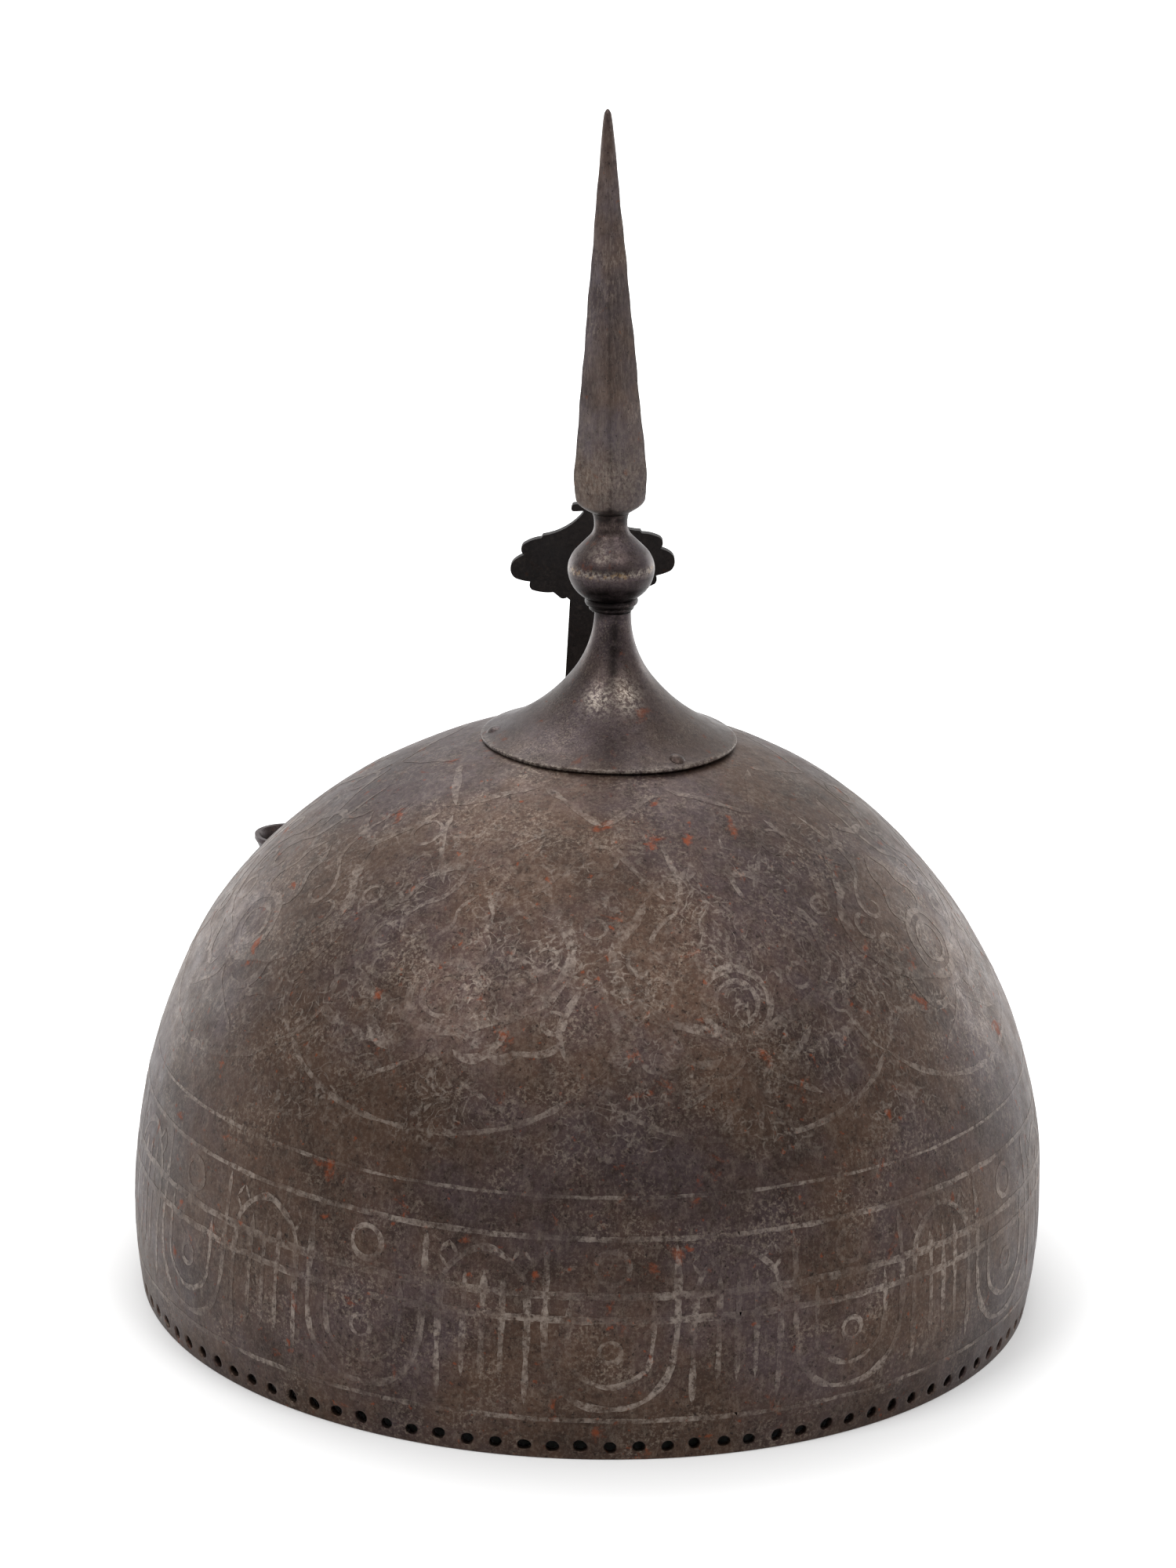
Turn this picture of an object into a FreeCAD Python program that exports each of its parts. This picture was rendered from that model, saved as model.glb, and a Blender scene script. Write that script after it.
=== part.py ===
import FreeCAD, Part
import math
import os
import Sketcher

# A round steel bowl helmet with a spiked finial, a sliding nasal bar and two plume holders.
# Millimetres. +Z is up, the rim stands on Z = 0 round the origin, and the nasal bar is at the front, on -Y.

SIZES = (
    ("crown_radius", 98.8, "round of the crown, outside"),
    ("side_radius", 121.2, "round of the sides, outside"),
    ("side_turn", 18.8, "angle above level at which the side's round meets the crown's"),
    ("bowl_height", 126.9, "rim to crown, outside"),
    ("bowl_wall", 1.6, "sheet thickness of the bowl"),
    ("rim_hole_radius", 1.3, "punched holes for the mail"),
    ("rim_hole_rise", 3.0, "hole centres above the rim"),
    ("rim_hole_count", 106, "holes round the rim"),
    ("seat_gap", 0.05, "gap between pieces that lie on each other"),
    ("rivet_radius", 1.0, "shank of every rivet"),
    ("rivet_head_radius", 1.7, "outside head"),
    ("rivet_head_height", 0.6, "outside head"),
    ("rivet_tail_radius", 1.6, "head closed inside the bowl"),
    ("rivet_tail_height", 0.5, "head closed inside the bowl"),
    ("rivet_gap", 0.05, "between shank and hole"),
    ("rivet_seat", 0.1, "between a rivet's head and what it holds"),
    ("base_offset", 2.25, "finial axis beside the bowl's axis, towards -X"),
    ("skirt_lift", 1.2, "edge of the foot above the bowl, its wall included"),
    ("base_wall", 1.0, "sheet thickness of the flared foot"),
    ("skirt_radius", 27.4, "edge of the flared foot"),
    ("neck_radius", 3.9, "neck of the flared foot"),
    ("neck_flare", 23.0, "hollow round below the neck"),
    ("skirt_flare", 42.0, "flatter hollow round of the skirt"),
    ("flare_turn", 39.0, "angle at which the two rounds meet"),
    ("neck_depth", 13.0, "solid neck above the hollow skirt"),
    ("base_rivet_inset", 2.4, "rivets in from the skirt's edge"),
    ("base_rivet_turn", -35.0, "first rivet, from the back towards -X"),
    ("tang_radius", 2.0, "iron tang under the spike"),
    ("tang_gap", 0.08, "between tang and the pieces threaded on it"),
    ("neck_bore_gap", 0.6, "between the leaning tang and the neck's bore"),
    ("rove_radius", 4.4, "washer under the neck"),
    ("rove_thickness", 1.0, "washer under the neck"),
    ("rove_gap", 0.2, "between washer and neck, which lean apart"),
    ("peen_radius", 3.0, "end of the tang, spread under the washer"),
    ("peen_height", 1.0, "end of the tang"),
    ("stack_lean", 2.0, "lean of the spike and knop towards +X"),
    ("stack_offset", 0.3, "foot of the leaning stack beside the neck's axis, towards +X"),
    ("stack_gap", 0.25, "between neck and collar, which lean apart"),
    ("collar_height", 2.7, "beaded ring under the knop"),
    ("collar_radius", 5.8, "its upper bead"),
    ("collar_bead", 5.0, "its lower, smaller bead"),
    ("knop_radius", 9.25, "bulb at its widest"),
    ("knop_foot_radius", 5.4, "bulb where it meets the collar"),
    ("knop_lower_height", 6.2, "lower cup"),
    ("knop_lower_round", 7.05, "round of the lower cup"),
    ("knop_upper_height", 12.3, "upper cup with its neck"),
    ("knop_upper_round", 6.3, "round of the upper cup"),
    ("knop_shoulder_turn", 45.0, "angle at which the upper round ends"),
    ("knop_neck_radius", 3.55, "neck under the spike"),
    ("knop_neck_end", 3.85, "neck where it spreads under the spike"),
    ("knop_neck_round", 3.6, "hollow round that leads into the neck"),
    ("knop_wall", 0.9, "sheet thickness of both cups"),
    ("seam_height", 0.5, "brazing between the cups"),
    ("seam_proud", 0.06, "brazing standing out of the cups"),
    ("spike_length", 85.4, "foot to tip"),
    ("spike_reach", 7.7, "half the diagonal at the widest"),
    ("spike_shoulder", 8.5, "foot to the widest place"),
    ("heel_rise", 2.2, "foot to the heel's corner"),
    ("heel_reach", 7.16, "half the diagonal at the heel"),
    ("foot_reach", 3.9, "half the diagonal on the knop"),
    ("tip_reach", 0.8, "half the diagonal at the blunt tip"),
    ("nasal_offset", 2.8, "guide centre beside the bowl's axis, towards -X"),
    ("nasal_lean", 3.2, "lean of the bar and its guide towards +X"),
    ("guide_height", 44.0, "guide centre above the rim"),
    ("bar_stand_off", 1.2, "bar clear of the bowl's widest round"),
    ("bar_thickness", 2.6, "nasal bar"),
    ("bar_half_width", 7.4, "bar at its widest"),
    ("bar_end_half_width", 5.65, "bar beside its leaves"),
    ("bar_taper", 20.0, "length over which the bar narrows to a leaf"),
    ("leaf_half_width", 19.5, "cusped leaf at each end of the bar"),
    ("leaf_rise", 15.3, "leaf centre to its outer end"),
    ("leaf_fall", 8.0, "leaf centre to the bar"),
    ("upper_leaf", 92.3, "guide centre to the upper leaf's centre, bar raised"),
    ("lower_leaf", 27.0, "guide centre to the lower leaf's centre, bar raised"),
    ("bar_gap", 0.3, "running gap round the bar"),
    ("bridge_wall", 2.2, "walls of the guide's bridge"),
    ("bridge_half_height", 11.0, "guide's bridge"),
    ("plate_thickness", 1.5, "plates riveted to the bowl"),
    ("guide_half_width", 17.6, "guide's plate"),
    ("guide_half_height", 14.0, "guide's plate"),
    ("guide_rivet_height", 8.5, "guide's rivets above and below its centre"),
    ("boss_radius", 4.6, "boss for the clamp screw"),
    ("boss_height", 2.4, "boss above the bridge"),
    ("screw_radius", 2.0, "clamp screw's shank"),
    ("screw_gap", 0.05, "running gap round the shank"),
    ("screw_tip_gap", 0.1, "between the screw's tip and the bar"),
    ("shoulder_radius", 3.4, "screw's shoulder"),
    ("shoulder_height", 1.2, "screw's shoulder"),
    ("shoulder_gap", 0.4, "between shoulder and boss"),
    ("bow_width", 14.0, "thumb piece"),
    ("bow_height", 10.0, "thumb piece"),
    ("bow_thickness", 2.2, "thumb piece"),
    ("left_plume_angle", 42.0, "plume holder on +X, from the front"),
    ("right_plume_angle", 37.5, "plume holder on -X, from the front"),
    ("plume_bore", 5.2, "radius inside the plume tube"),
    ("plume_wall", 1.0, "plume tube's sheet"),
    ("plume_mouth", 8.1, "radius of the tube's flared mouth"),
    ("mouth_height", 7.0, "flared part of the tube"),
    ("plume_foot", 23.0, "bottom of the tube above the rim"),
    ("plume_top", 74.5, "mouth above the rim"),
    ("plume_floor", 1.6, "closed bottom of the tube"),
    ("bud_radius", 2.1, "bud under the tube"),
    ("bud_height", 5.5, "bud under the tube"),
    ("plume_gap", 0.3, "between tube and plate"),
    ("lug_half_width", 2.6, "lug that joins tube and plate"),
    ("lug_height", 18.0, "lug that joins tube and plate"),
    ("plate_centre", 37.0, "plume plate's centre above the rim"),
    ("plate_half_width", 11.6, "plume plate"),
    ("plate_half_height", 20.0, "plume plate"),
    ("overrun", 3.0, "how far a cutting shape runs past what it cuts"),
)

# The leaf's right half from the bar to its outer end: shares of its half width and of its fall or rise,
# then the arc to the next corner as a share of the half width, and the side that the arc bulges to.
LEAF_SHARES = (
    (0.325, -0.92, 0.07, -1),
    (0.425, -0.875, 0.0, 0),
    (0.487, -0.735, 0.55, -1),
    (0.748, -0.62, 0.075, -1),
    (0.76, -0.369, 0.6, -1),
    (0.945, -0.24, 0.1425, -1),
    (0.96, 0.145, 0.35, -1),
    (0.826, 0.235, 0.082, -1),
    (0.815, 0.415, 0.5, -1),
    (0.61, 0.49, 0.0, 0),
    (0.592, 0.53, 0.735, 1),
    (0.087, 0.863, 0.0, 0),
    (0.087, 0.887, 0.0, 0),
    (0.205, 0.887, 0.035, -1),
    (0.23, 0.96, 0.035, -1),
    (0.2, 1.0, 0.0, 0),
)

# The right half of a plume plate, bottom to top, in shares of its half width and half height.
PLATE_SHARES = (
    (0.0, -1.0, 1.2, -1),
    (0.55, -0.64, 0.25, -1),
    (0.5, -0.42, 1.15, -1),
    (1.0, 0.0, 1.15, -1),
    (0.5, 0.42, 0.25, -1),
    (0.55, 0.64, 1.2, -1),
)

# The right half of the guide's plate, bottom to top, in shares of its half width and half height.
GUIDE_SHARES = (
    (0.0, -1.0, 0.6, -1),
    (0.5, -0.82, 0.42, -1),
    (1.0, -0.6, 0.0, 0),
    (1.0, 0.6, 0.42, -1),
    (0.5, 0.82, 0.6, -1),
)

# The right half of the thumb piece, from its neck outwards, in shares of its half width and height.
BOW_SHARES = (
    (0.3, 0.0, 0.0, 0),
    (0.3, 0.12, 0.55, -1),
    (1.0, 0.5, 0.55, -1),
    (0.42, 0.78, 0.5, -1),
)


class Length:
    """A length that carries its number together with the formula that gives it from the sheet."""

    def __init__(self, number, formula):
        self.number = number
        self.formula = formula

    def __add__(self, other):
        return Length(self.number + other.number, "(" + self.formula + " + " + other.formula + ")")

    def __sub__(self, other):
        return Length(self.number - other.number, "(" + self.formula + " - " + other.formula + ")")

    def __mul__(self, share):
        if isinstance(share, Length):
            return Length(self.number * share.number, "(" + self.formula + " * " + share.formula + ")")
        return Length(self.number * share, "(" + self.formula + " * " + repr(share) + ")")

    def __neg__(self):
        return Length(-self.number, "(0 - " + self.formula + ")")


ZERO = Length(0.0, "0")


def root_of_difference(a, b):
    """The other short side of a right triangle with long side a and short side b."""
    return Length(math.sqrt(a.number ** 2 - b.number ** 2), "sqrt(" + a.formula + " ^ 2 - " + b.formula + " ^ 2)")


def cosine(angle):
    return Length(math.cos(math.radians(angle.number)), "cos(" + angle.formula + " * 1 deg)")


def sine(angle):
    return Length(math.sin(math.radians(angle.number)), "sin(" + angle.formula + " * 1 deg)")


doc = FreeCAD.newDocument("helmet")
sheet = doc.addObject("Spreadsheet::Sheet", "Sizes")
sheet.Label = "Sizes"
size = {}
for row, (alias, number, note) in enumerate(SIZES, start=1):
    sheet.set("A%d" % row, alias)
    sheet.set("B%d" % row, str(number))
    sheet.set("C%d" % row, note)
    sheet.setAlias("B%d" % row, alias)
    size[alias] = Length(float(number), "Sizes." + alias)
doc.recompute()


def bind(thing, property_name, length):
    """Sets a property to a length and ties it to the sheet."""
    thing.setExpression(property_name, length.formula)


def place(thing, base, axis, angle):
    """Puts a body at base, turned by angle about axis, with each coordinate tied to the sheet."""
    thing.Placement = FreeCAD.Placement(
        FreeCAD.Vector(base[0].number, base[1].number, base[2].number),
        FreeCAD.Rotation(axis, angle.number))
    for letter, length in zip("xyz", base):
        bind(thing, "Placement.Base." + letter, length)
    bind(thing, "Placement.Rotation.Angle", angle)


def plane_of(body, role):
    for feature in body.Origin.OriginFeatures:
        if feature.Role == role:
            return feature
    raise ValueError(role)


def sketch_on(body, role, name):
    sketch = body.newObject("Sketcher::SketchObject", name)
    sketch.AttachmentSupport = [(plane_of(body, role), "")]
    sketch.MapMode = "FlatFace"
    return sketch


def arc_between(start, end, radius, side):
    """The arc of less than half a circle from start to end that bulges to the right (-1) or left (1)."""
    chord = end - start
    middle = (start + end) * 0.5
    across = FreeCAD.Vector(-chord.y, chord.x, 0)
    across.normalize()
    reach = math.sqrt(max(radius ** 2 - (chord.Length * 0.5) ** 2, 0.0))
    centre = middle - across * (reach * side)
    first, last = (start, end) if side < 0 else (end, start)
    a = math.atan2(first.y - centre.y, first.x - centre.x)
    b = math.atan2(last.y - centre.y, last.x - centre.x)
    circle = Part.Circle(centre, FreeCAD.Vector(0, 0, 1), radius)
    return Part.ArcOfCircle(circle, a, b)


def place_rules(geometry, end, corner):
    """Rules that tie one end of a piece of geometry to its place, each with the formula for its length."""
    rules = []
    for kind, axis_line, length in (("DistanceX", -2, corner[0]), ("DistanceY", -1, corner[1])):
        if length is ZERO:
            rules.append((Sketcher.Constraint("PointOnObject", geometry, end, axis_line), None))
        else:
            rules.append((Sketcher.Constraint(kind, -1, 1, geometry, end, length.number), length.formula))
    return rules


def set_rules(sketch, rules):
    first = sketch.ConstraintCount
    sketch.addConstraint([rule for rule, formula in rules])
    for i, (rule, formula) in enumerate(rules):
        if formula:
            sketch.setExpression("Constraints[%d]" % (first + i), formula)


def draw_outline(sketch, corners):
    """A closed outline of lines and arcs. A corner is (across, up) or (across, up, radius, side)."""
    count = len(corners)
    pieces = []
    ends = []
    for i, corner in enumerate(corners):
        after = corners[(i + 1) % count]
        start = FreeCAD.Vector(corner[0].number, corner[1].number, 0)
        end = FreeCAD.Vector(after[0].number, after[1].number, 0)
        if len(corner) == 2:
            pieces.append(Part.LineSegment(start, end))
            ends.append((1, 2))
        else:
            pieces.append(arc_between(start, end, corner[2].number, corner[3]))
            ends.append((1, 2) if corner[3] < 0 else (2, 1))
    sketch.addGeometry(pieces)
    rules = []
    for i, corner in enumerate(corners):
        before = (i - 1) % count
        rules.append((Sketcher.Constraint("Coincident", before, ends[before][1], i, ends[i][0]), None))
        rules = rules + place_rules(i, ends[i][0], corner)
        if len(corner) == 4:
            rules.append((Sketcher.Constraint("Radius", i, corner[2].number), corner[2].formula))
    set_rules(sketch, rules)


def turned(body, corners, name="profile"):
    """Turns an outline in the XZ plane round the body's Z axis."""
    sketch = sketch_on(body, "XZ_Plane", name)
    draw_outline(sketch, corners)
    turning = body.newObject("PartDesign::Revolution", name + "_turned")
    turning.Profile = sketch
    turning.ReferenceAxis = (sketch, ["V_Axis"])
    turning.Angle = 360
    return turning


def padded(body, corners, name, depth, role="XZ_Plane", both_ways=False, backwards=False):
    """Pads an outline by depth. From the XZ plane it grows towards -Y."""
    sketch = sketch_on(body, role, name)
    draw_outline(sketch, corners)
    pad = body.newObject("PartDesign::Pad", name + "_pad")
    pad.Profile = sketch
    bind(pad, "Length", depth)
    pad.Midplane = both_ways
    pad.Reversed = backwards
    return pad


def new_body(name):
    return doc.addObject("PartDesign::Body", name)


def named_node(thing, label):
    thing.Label = label
    nodes.append(thing)
    return thing


def boolean(kind, name, base, tool):
    made = doc.addObject("Part::" + kind, name)
    made.Base = base
    made.Tool = tool
    return made


def group(name, members):
    made = doc.addObject("Part::Compound", name)
    made.Links = members
    return made


def mirrored(half):
    """The half outline on +X followed by its mirror image, so that it closes on itself."""
    count = len(half)
    other = []
    for i in range(count - 1, -1, -1):
        corner = half[i]
        rule = half[i - 1][2:] if i > 0 else ()
        point = (-corner[0], corner[1]) if corner[0] is not ZERO else (ZERO, corner[1])
        other.append(point + tuple(rule))
    if half[-1][0] is ZERO:
        other = other[1:]
    if half[0][0] is ZERO:
        other = other[:-1]
    return list(half) + other


nodes = []
UP = FreeCAD.Vector(0, 0, 1)
SIDEWAYS = FreeCAD.Vector(0, 1, 0)


# The bowl's outside, which every plate and the finial sit on

def dome_places(gap):
    """Rim corner, meeting corner and crown corner of the bowl's outside moved out by gap."""
    side = size["side_radius"] + gap
    crown = size["crown_radius"] + gap
    turn = size["side_turn"]
    crown_centre = size["bowl_height"] - size["crown_radius"]
    spread = size["side_radius"] - size["crown_radius"]
    side_across = -(spread * cosine(turn))
    side_up = crown_centre - spread * sine(turn)
    rim = (side_across + root_of_difference(side, side_up), ZERO, side, -1)
    meeting = (crown * cosine(turn), crown_centre + crown * sine(turn), crown, -1)
    top = (ZERO, size["bowl_height"] + gap)
    return rim, meeting, top


def widest_radius():
    spread = size["side_radius"] - size["crown_radius"]
    return size["side_radius"] - spread * cosine(size["side_turn"])


def dome_point(rise):
    """Radius of the bowl's outside at a height, and the slope of its outward normal, in degrees."""
    rim, meeting, top = dome_places(ZERO)
    crown_centre = size["bowl_height"].number - size["crown_radius"].number
    if rise > meeting[1].number:
        radius = math.sqrt(size["crown_radius"].number ** 2 - (rise - crown_centre) ** 2)
        return radius, math.degrees(math.atan2(rise - crown_centre, radius))
    spread = size["side_radius"].number - size["crown_radius"].number
    turn = math.radians(size["side_turn"].number)
    across = -spread * math.cos(turn)
    up = crown_centre - spread * math.sin(turn)
    radius = math.sqrt(size["side_radius"].number ** 2 - (rise - up) ** 2)
    return across + radius, math.degrees(math.atan2(rise - up, radius))


def solid_dome(name, gap):
    body = new_body(name)
    rim, meeting, top = dome_places(gap)
    turned(body, [(ZERO, ZERO), rim, meeting, top])
    return body


def dome_shell(name, inner_gap, outer_gap):
    body = new_body(name)
    rim, meeting, top = dome_places(outer_gap)
    inner_rim, inner_meeting, inner_top = dome_places(inner_gap)
    back_to_meeting = (inner_top[0], inner_top[1], size["crown_radius"] + inner_gap, 1)
    back_to_rim = (inner_meeting[0], inner_meeting[1], size["side_radius"] + inner_gap, 1)
    turned(body, [rim, meeting, top, back_to_meeting, back_to_rim, (inner_rim[0], ZERO)])
    return body


dome_seat = solid_dome("dome_seat", size["seat_gap"])
plate_stack = size["seat_gap"] + size["plate_thickness"]
plate_shell = dome_shell("plate_shell", size["seat_gap"], plate_stack)
plate_seat = solid_dome("plate_seat", plate_stack + size["seat_gap"])


# Rivets: a domed head outside, a shank through the plate and bowl, and a closed head inside

class Spot:
    """A place where a rivet goes: a point, the way that its head faces, and where head and tail sit."""

    def __init__(self, point, facing, head_seat, tail_seat):
        self.point = point
        self.facing = facing
        self.head_seat = head_seat
        self.tail_seat = tail_seat

    def placement(self):
        return FreeCAD.Placement(self.point, FreeCAD.Rotation(UP, self.facing))


def bowl_spot(turn, rise):
    """A spot on the bowl's outside for a rivet that holds a plate."""
    radius, slope = dome_point(rise)
    a = math.radians(turn)
    s = math.radians(slope)
    point = FreeCAD.Vector(radius * math.sin(a), -radius * math.cos(a), rise)
    facing = FreeCAD.Vector(math.cos(s) * math.sin(a), -math.cos(s) * math.cos(a), math.sin(s))
    head_seat = plate_stack + size["rivet_seat"]
    return Spot(point, facing, head_seat, -(size["bowl_wall"] + size["rivet_seat"]))


def rivet(name, spot):
    """One rivet, its axis along the way that the spot faces."""
    body = new_body(name)
    head_round = lens_radius(size["rivet_head_radius"], size["rivet_head_height"])
    tail_round = lens_radius(size["rivet_tail_radius"], size["rivet_tail_height"])
    turned(body, [
        (ZERO, spot.tail_seat - size["rivet_tail_height"], tail_round, -1),
        (size["rivet_tail_radius"], spot.tail_seat),
        (size["rivet_radius"], spot.tail_seat),
        (size["rivet_radius"], spot.head_seat),
        (size["rivet_head_radius"], spot.head_seat, head_round, -1),
        (ZERO, spot.head_seat + size["rivet_head_height"])])
    body.Placement = spot.placement()
    return body


def lens_radius(radius, height):
    """Radius of the round that rises by height over a disc of the given radius."""
    number = (radius.number ** 2 + height.number ** 2) / (height.number * 2)
    formula = "((%s ^ 2 + %s ^ 2) / (%s * 2))" % (radius.formula, height.formula, height.formula)
    return Length(number, formula)


def rivet_hole(name, spot):
    """The drill that makes a rivet's hole through plate and bowl."""
    drill = doc.addObject("Part::Cylinder", name)
    bind(drill, "Radius", size["rivet_radius"] + size["rivet_gap"])
    reach = size["bowl_wall"] + size["plate_thickness"] + size["overrun"]
    bind(drill, "Height", reach * 2)
    drill.Placement = spot.placement().multiply(FreeCAD.Placement(UP * -reach.number, FreeCAD.Rotation()))
    return drill


def rivet_set(name, spots):
    """A set of like rivets as one node, and the drills for their holes."""
    rivets = []
    drills = []
    for i, spot in enumerate(spots):
        rivets.append(rivet("%s_rivet_%d" % (name, i + 1), spot))
        drills.append(rivet_hole("%s_drill_%d" % (name, i + 1), spot))
    named_node(group(name, rivets), name)
    return drills


# Finial foot: a flared skirt on a solid neck, riveted over the crown

def skirt_centre():
    """Centre of the skirt's round: across from the finial's axis, and up from the crown."""
    spread = size["skirt_flare"] - size["neck_flare"]
    across = size["neck_radius"] + size["neck_flare"] + spread * cosine(size["flare_turn"])
    fall = size["crown_radius"] - root_of_difference(size["crown_radius"], size["skirt_radius"])
    drop = root_of_difference(size["skirt_flare"], across - size["skirt_radius"])
    return across, size["skirt_lift"] - fall + drop


def neck_top():
    """Top of the foot's neck, up from the crown, so that the skirt's edge stays over the bowl."""
    spread = size["skirt_flare"] - size["neck_flare"]
    return skirt_centre()[1] - spread * sine(size["flare_turn"])


def flare_corners(outward):
    """Neck round, skirt round, their meeting and the skirt's edge, outside or, below zero, inside."""
    wall = size["base_wall"]
    turn = size["flare_turn"]
    neck = size["neck_flare"] + wall if outward < 0 else size["neck_flare"]
    skirt = size["skirt_flare"] + wall if outward < 0 else size["skirt_flare"]
    neck_centre = size["neck_radius"] + size["neck_flare"]
    centre, centre_up = skirt_centre()
    meeting = (neck_centre - neck * cosine(turn), neck_top() - neck * sine(turn))
    drop = root_of_difference(skirt, centre - size["skirt_radius"])
    return neck, skirt, meeting, (size["skirt_radius"], centre_up - drop)


def finial_foot():
    body = new_body("finial_foot")
    neck, skirt, meeting, edge = flare_corners(1)
    inner_neck, inner_skirt, inner_meeting, inner_edge = flare_corners(-1)
    ledge = neck_top() - size["neck_depth"]
    neck_centre = size["neck_radius"] + size["neck_flare"]
    ledge_radius = neck_centre - root_of_difference(inner_neck, size["neck_depth"])
    bore = size["tang_radius"] + size["neck_bore_gap"]
    turned(body, [
        (bore, ledge),
        (ledge_radius, ledge, inner_neck, -1),
        (inner_meeting[0], inner_meeting[1], inner_skirt, -1),
        inner_edge,
        (edge[0], edge[1], skirt, 1),
        (meeting[0], meeting[1], neck, 1),
        (size["neck_radius"], neck_top()),
        (bore, neck_top())])
    place(body, (-size["base_offset"], ZERO, size["bowl_height"]), UP, ZERO)
    return body


def skirt_spots():
    """Three rivets square to the skirt near its edge, reaching through the bowl."""
    wall = size["base_wall"]
    across = skirt_centre()[0].number
    up = (size["bowl_height"] + skirt_centre()[1]).number
    reach = (size["skirt_radius"] - size["base_rivet_inset"]).number
    slope = math.asin((across - reach) / size["skirt_flare"].number)
    rise = up - size["skirt_flare"].number * math.cos(slope)
    inner = (size["crown_radius"] - size["bowl_wall"]).number
    centre = FreeCAD.Vector(0, 0, (size["bowl_height"] - size["crown_radius"]).number)
    spots = []
    for i in range(3):
        turn = math.radians(size["base_rivet_turn"].number + i * 120)
        out = FreeCAD.Vector(math.sin(turn), math.cos(turn), 0)
        point = out * reach + FreeCAD.Vector(-size["base_offset"].number, 0, rise)
        facing = out * math.sin(slope) + UP * math.cos(slope)
        gap = point - centre
        along = gap.dot(facing)
        depth = along - math.sqrt(along ** 2 - gap.dot(gap) + inner ** 2)
        tail_seat = -(wall * (depth / wall.number) + size["rivet_seat"] * SKIRT_TAIL_SHARE)
        spots.append(Spot(point, facing, size["rivet_seat"], tail_seat))
    return spots


# The skirt's rivets lean a little against the bowl, so that their tails need more room
SKIRT_TAIL_SHARE = 4.0

skirt_drills = rivet_set("finial_rivets", skirt_spots())
seated_foot = boolean("Cut", "seated_foot", finial_foot(), dome_seat)
finial_base = boolean("Cut", "finial_base", seated_foot, group("skirt_drills", skirt_drills))
named_node(finial_base, "finial_base")


# The leaning stack on the foot: collar, two knop cups with their brazing, and the spike

def stack_place(body):
    rise = size["bowl_height"] + neck_top() + size["stack_gap"]
    place(body, (size["stack_offset"] - size["base_offset"], ZERO, rise), SIDEWAYS, size["stack_lean"])


def collar():
    body = new_body("collar")
    bore = size["tang_radius"] + size["tang_gap"]
    top = size["collar_height"]
    waist = size["collar_bead"]
    upper_bead = lens_radius(top * 0.25, top * 0.2)
    lower_bead = lens_radius(top * 0.225, top * 0.12)
    turned(body, [
        (bore, ZERO),
        (size["neck_radius"], ZERO),
        (waist, top * 0.05, lower_bead, -1),
        (waist, top * 0.5),
        (size["collar_radius"] - top * 0.2, top * 0.5, upper_bead, -1),
        (size["collar_radius"] - top * 0.2, top),
        (bore, top)])
    stack_place(body)
    return body


def knop_lower():
    body = new_body("knop_lower")
    wall = size["knop_wall"]
    base = size["collar_height"] + size["seat_gap"]
    top = size["collar_height"] + size["knop_lower_height"] - size["seam_height"] * 0.5
    bore = size["tang_radius"] + size["tang_gap"]
    inner = size["knop_lower_round"] - wall
    turned(body, [
        (bore, base),
        (size["knop_foot_radius"], base, size["knop_lower_round"], -1),
        (size["knop_radius"], top),
        (size["knop_radius"] - wall, top, inner, 1),
        (size["knop_foot_radius"] - wall, base + wall),
        (bore, base + wall)])
    stack_place(body)
    return body


def knop_upper():
    body = new_body("knop_upper")
    wall = size["knop_wall"]
    equator = size["collar_height"] + size["knop_lower_height"]
    foot = equator + size["seam_height"] * 0.5
    top = equator + size["knop_upper_height"]
    turn = size["knop_shoulder_turn"]
    centre = size["knop_radius"] - size["knop_upper_round"]
    across = cosine(turn)
    up = sine(turn)
    inner_round = size["knop_upper_round"] - wall
    neck_centre = size["knop_neck_radius"] + size["knop_neck_round"]
    hollow = size["knop_neck_round"]
    neck_up = knop_neck_rise(equator)
    bore = size["tang_radius"] + size["tang_gap"]
    ceiling = neck_up - hollow * up
    turned(body, [
        (bore, ceiling),
        (centre + inner_round * across - wall * 0.5, equator + inner_round * up, inner_round, -1),
        (size["knop_radius"] - wall, foot),
        (size["knop_radius"], foot, size["knop_upper_round"], -1),
        (centre + size["knop_upper_round"] * across, equator + size["knop_upper_round"] * up),
        (neck_centre - hollow * across, neck_up - hollow * up, hollow, 1),
        (size["knop_neck_radius"], neck_up),
        (size["knop_neck_end"], top),
        (bore, top)])
    stack_place(body)
    return body


def knop_neck_rise(equator):
    """Height at which the hollow round stands upright, so that its straight flank is tangent to both."""
    turn = size["knop_shoulder_turn"]
    shoulder_across = size["knop_radius"] - size["knop_upper_round"] + size["knop_upper_round"] * cosine(turn)
    shoulder_up = equator + size["knop_upper_round"] * sine(turn)
    flank_end = size["knop_neck_radius"] + size["knop_neck_round"] - size["knop_neck_round"] * cosine(turn)
    run = shoulder_across - flank_end
    slope = Length(math.tan(math.radians(turn.number)), "tan((90 - " + turn.formula + ") * 1 deg)")
    slope = Length(1 / slope.number, slope.formula)
    return shoulder_up + run * slope + size["knop_neck_round"] * sine(turn)


def knop_seam():
    body = new_body("knop_seam")
    equator = size["collar_height"] + size["knop_lower_height"]
    half = size["seam_height"] * 0.5 - size["seat_gap"] * 0.5
    outer = size["knop_radius"] + size["seam_proud"]
    inner = size["knop_radius"] - size["knop_wall"]
    turned(body, [(inner, equator - half), (outer, equator - half), (outer, equator + half),
                  (inner, equator + half)])
    stack_place(body)
    return body


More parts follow.
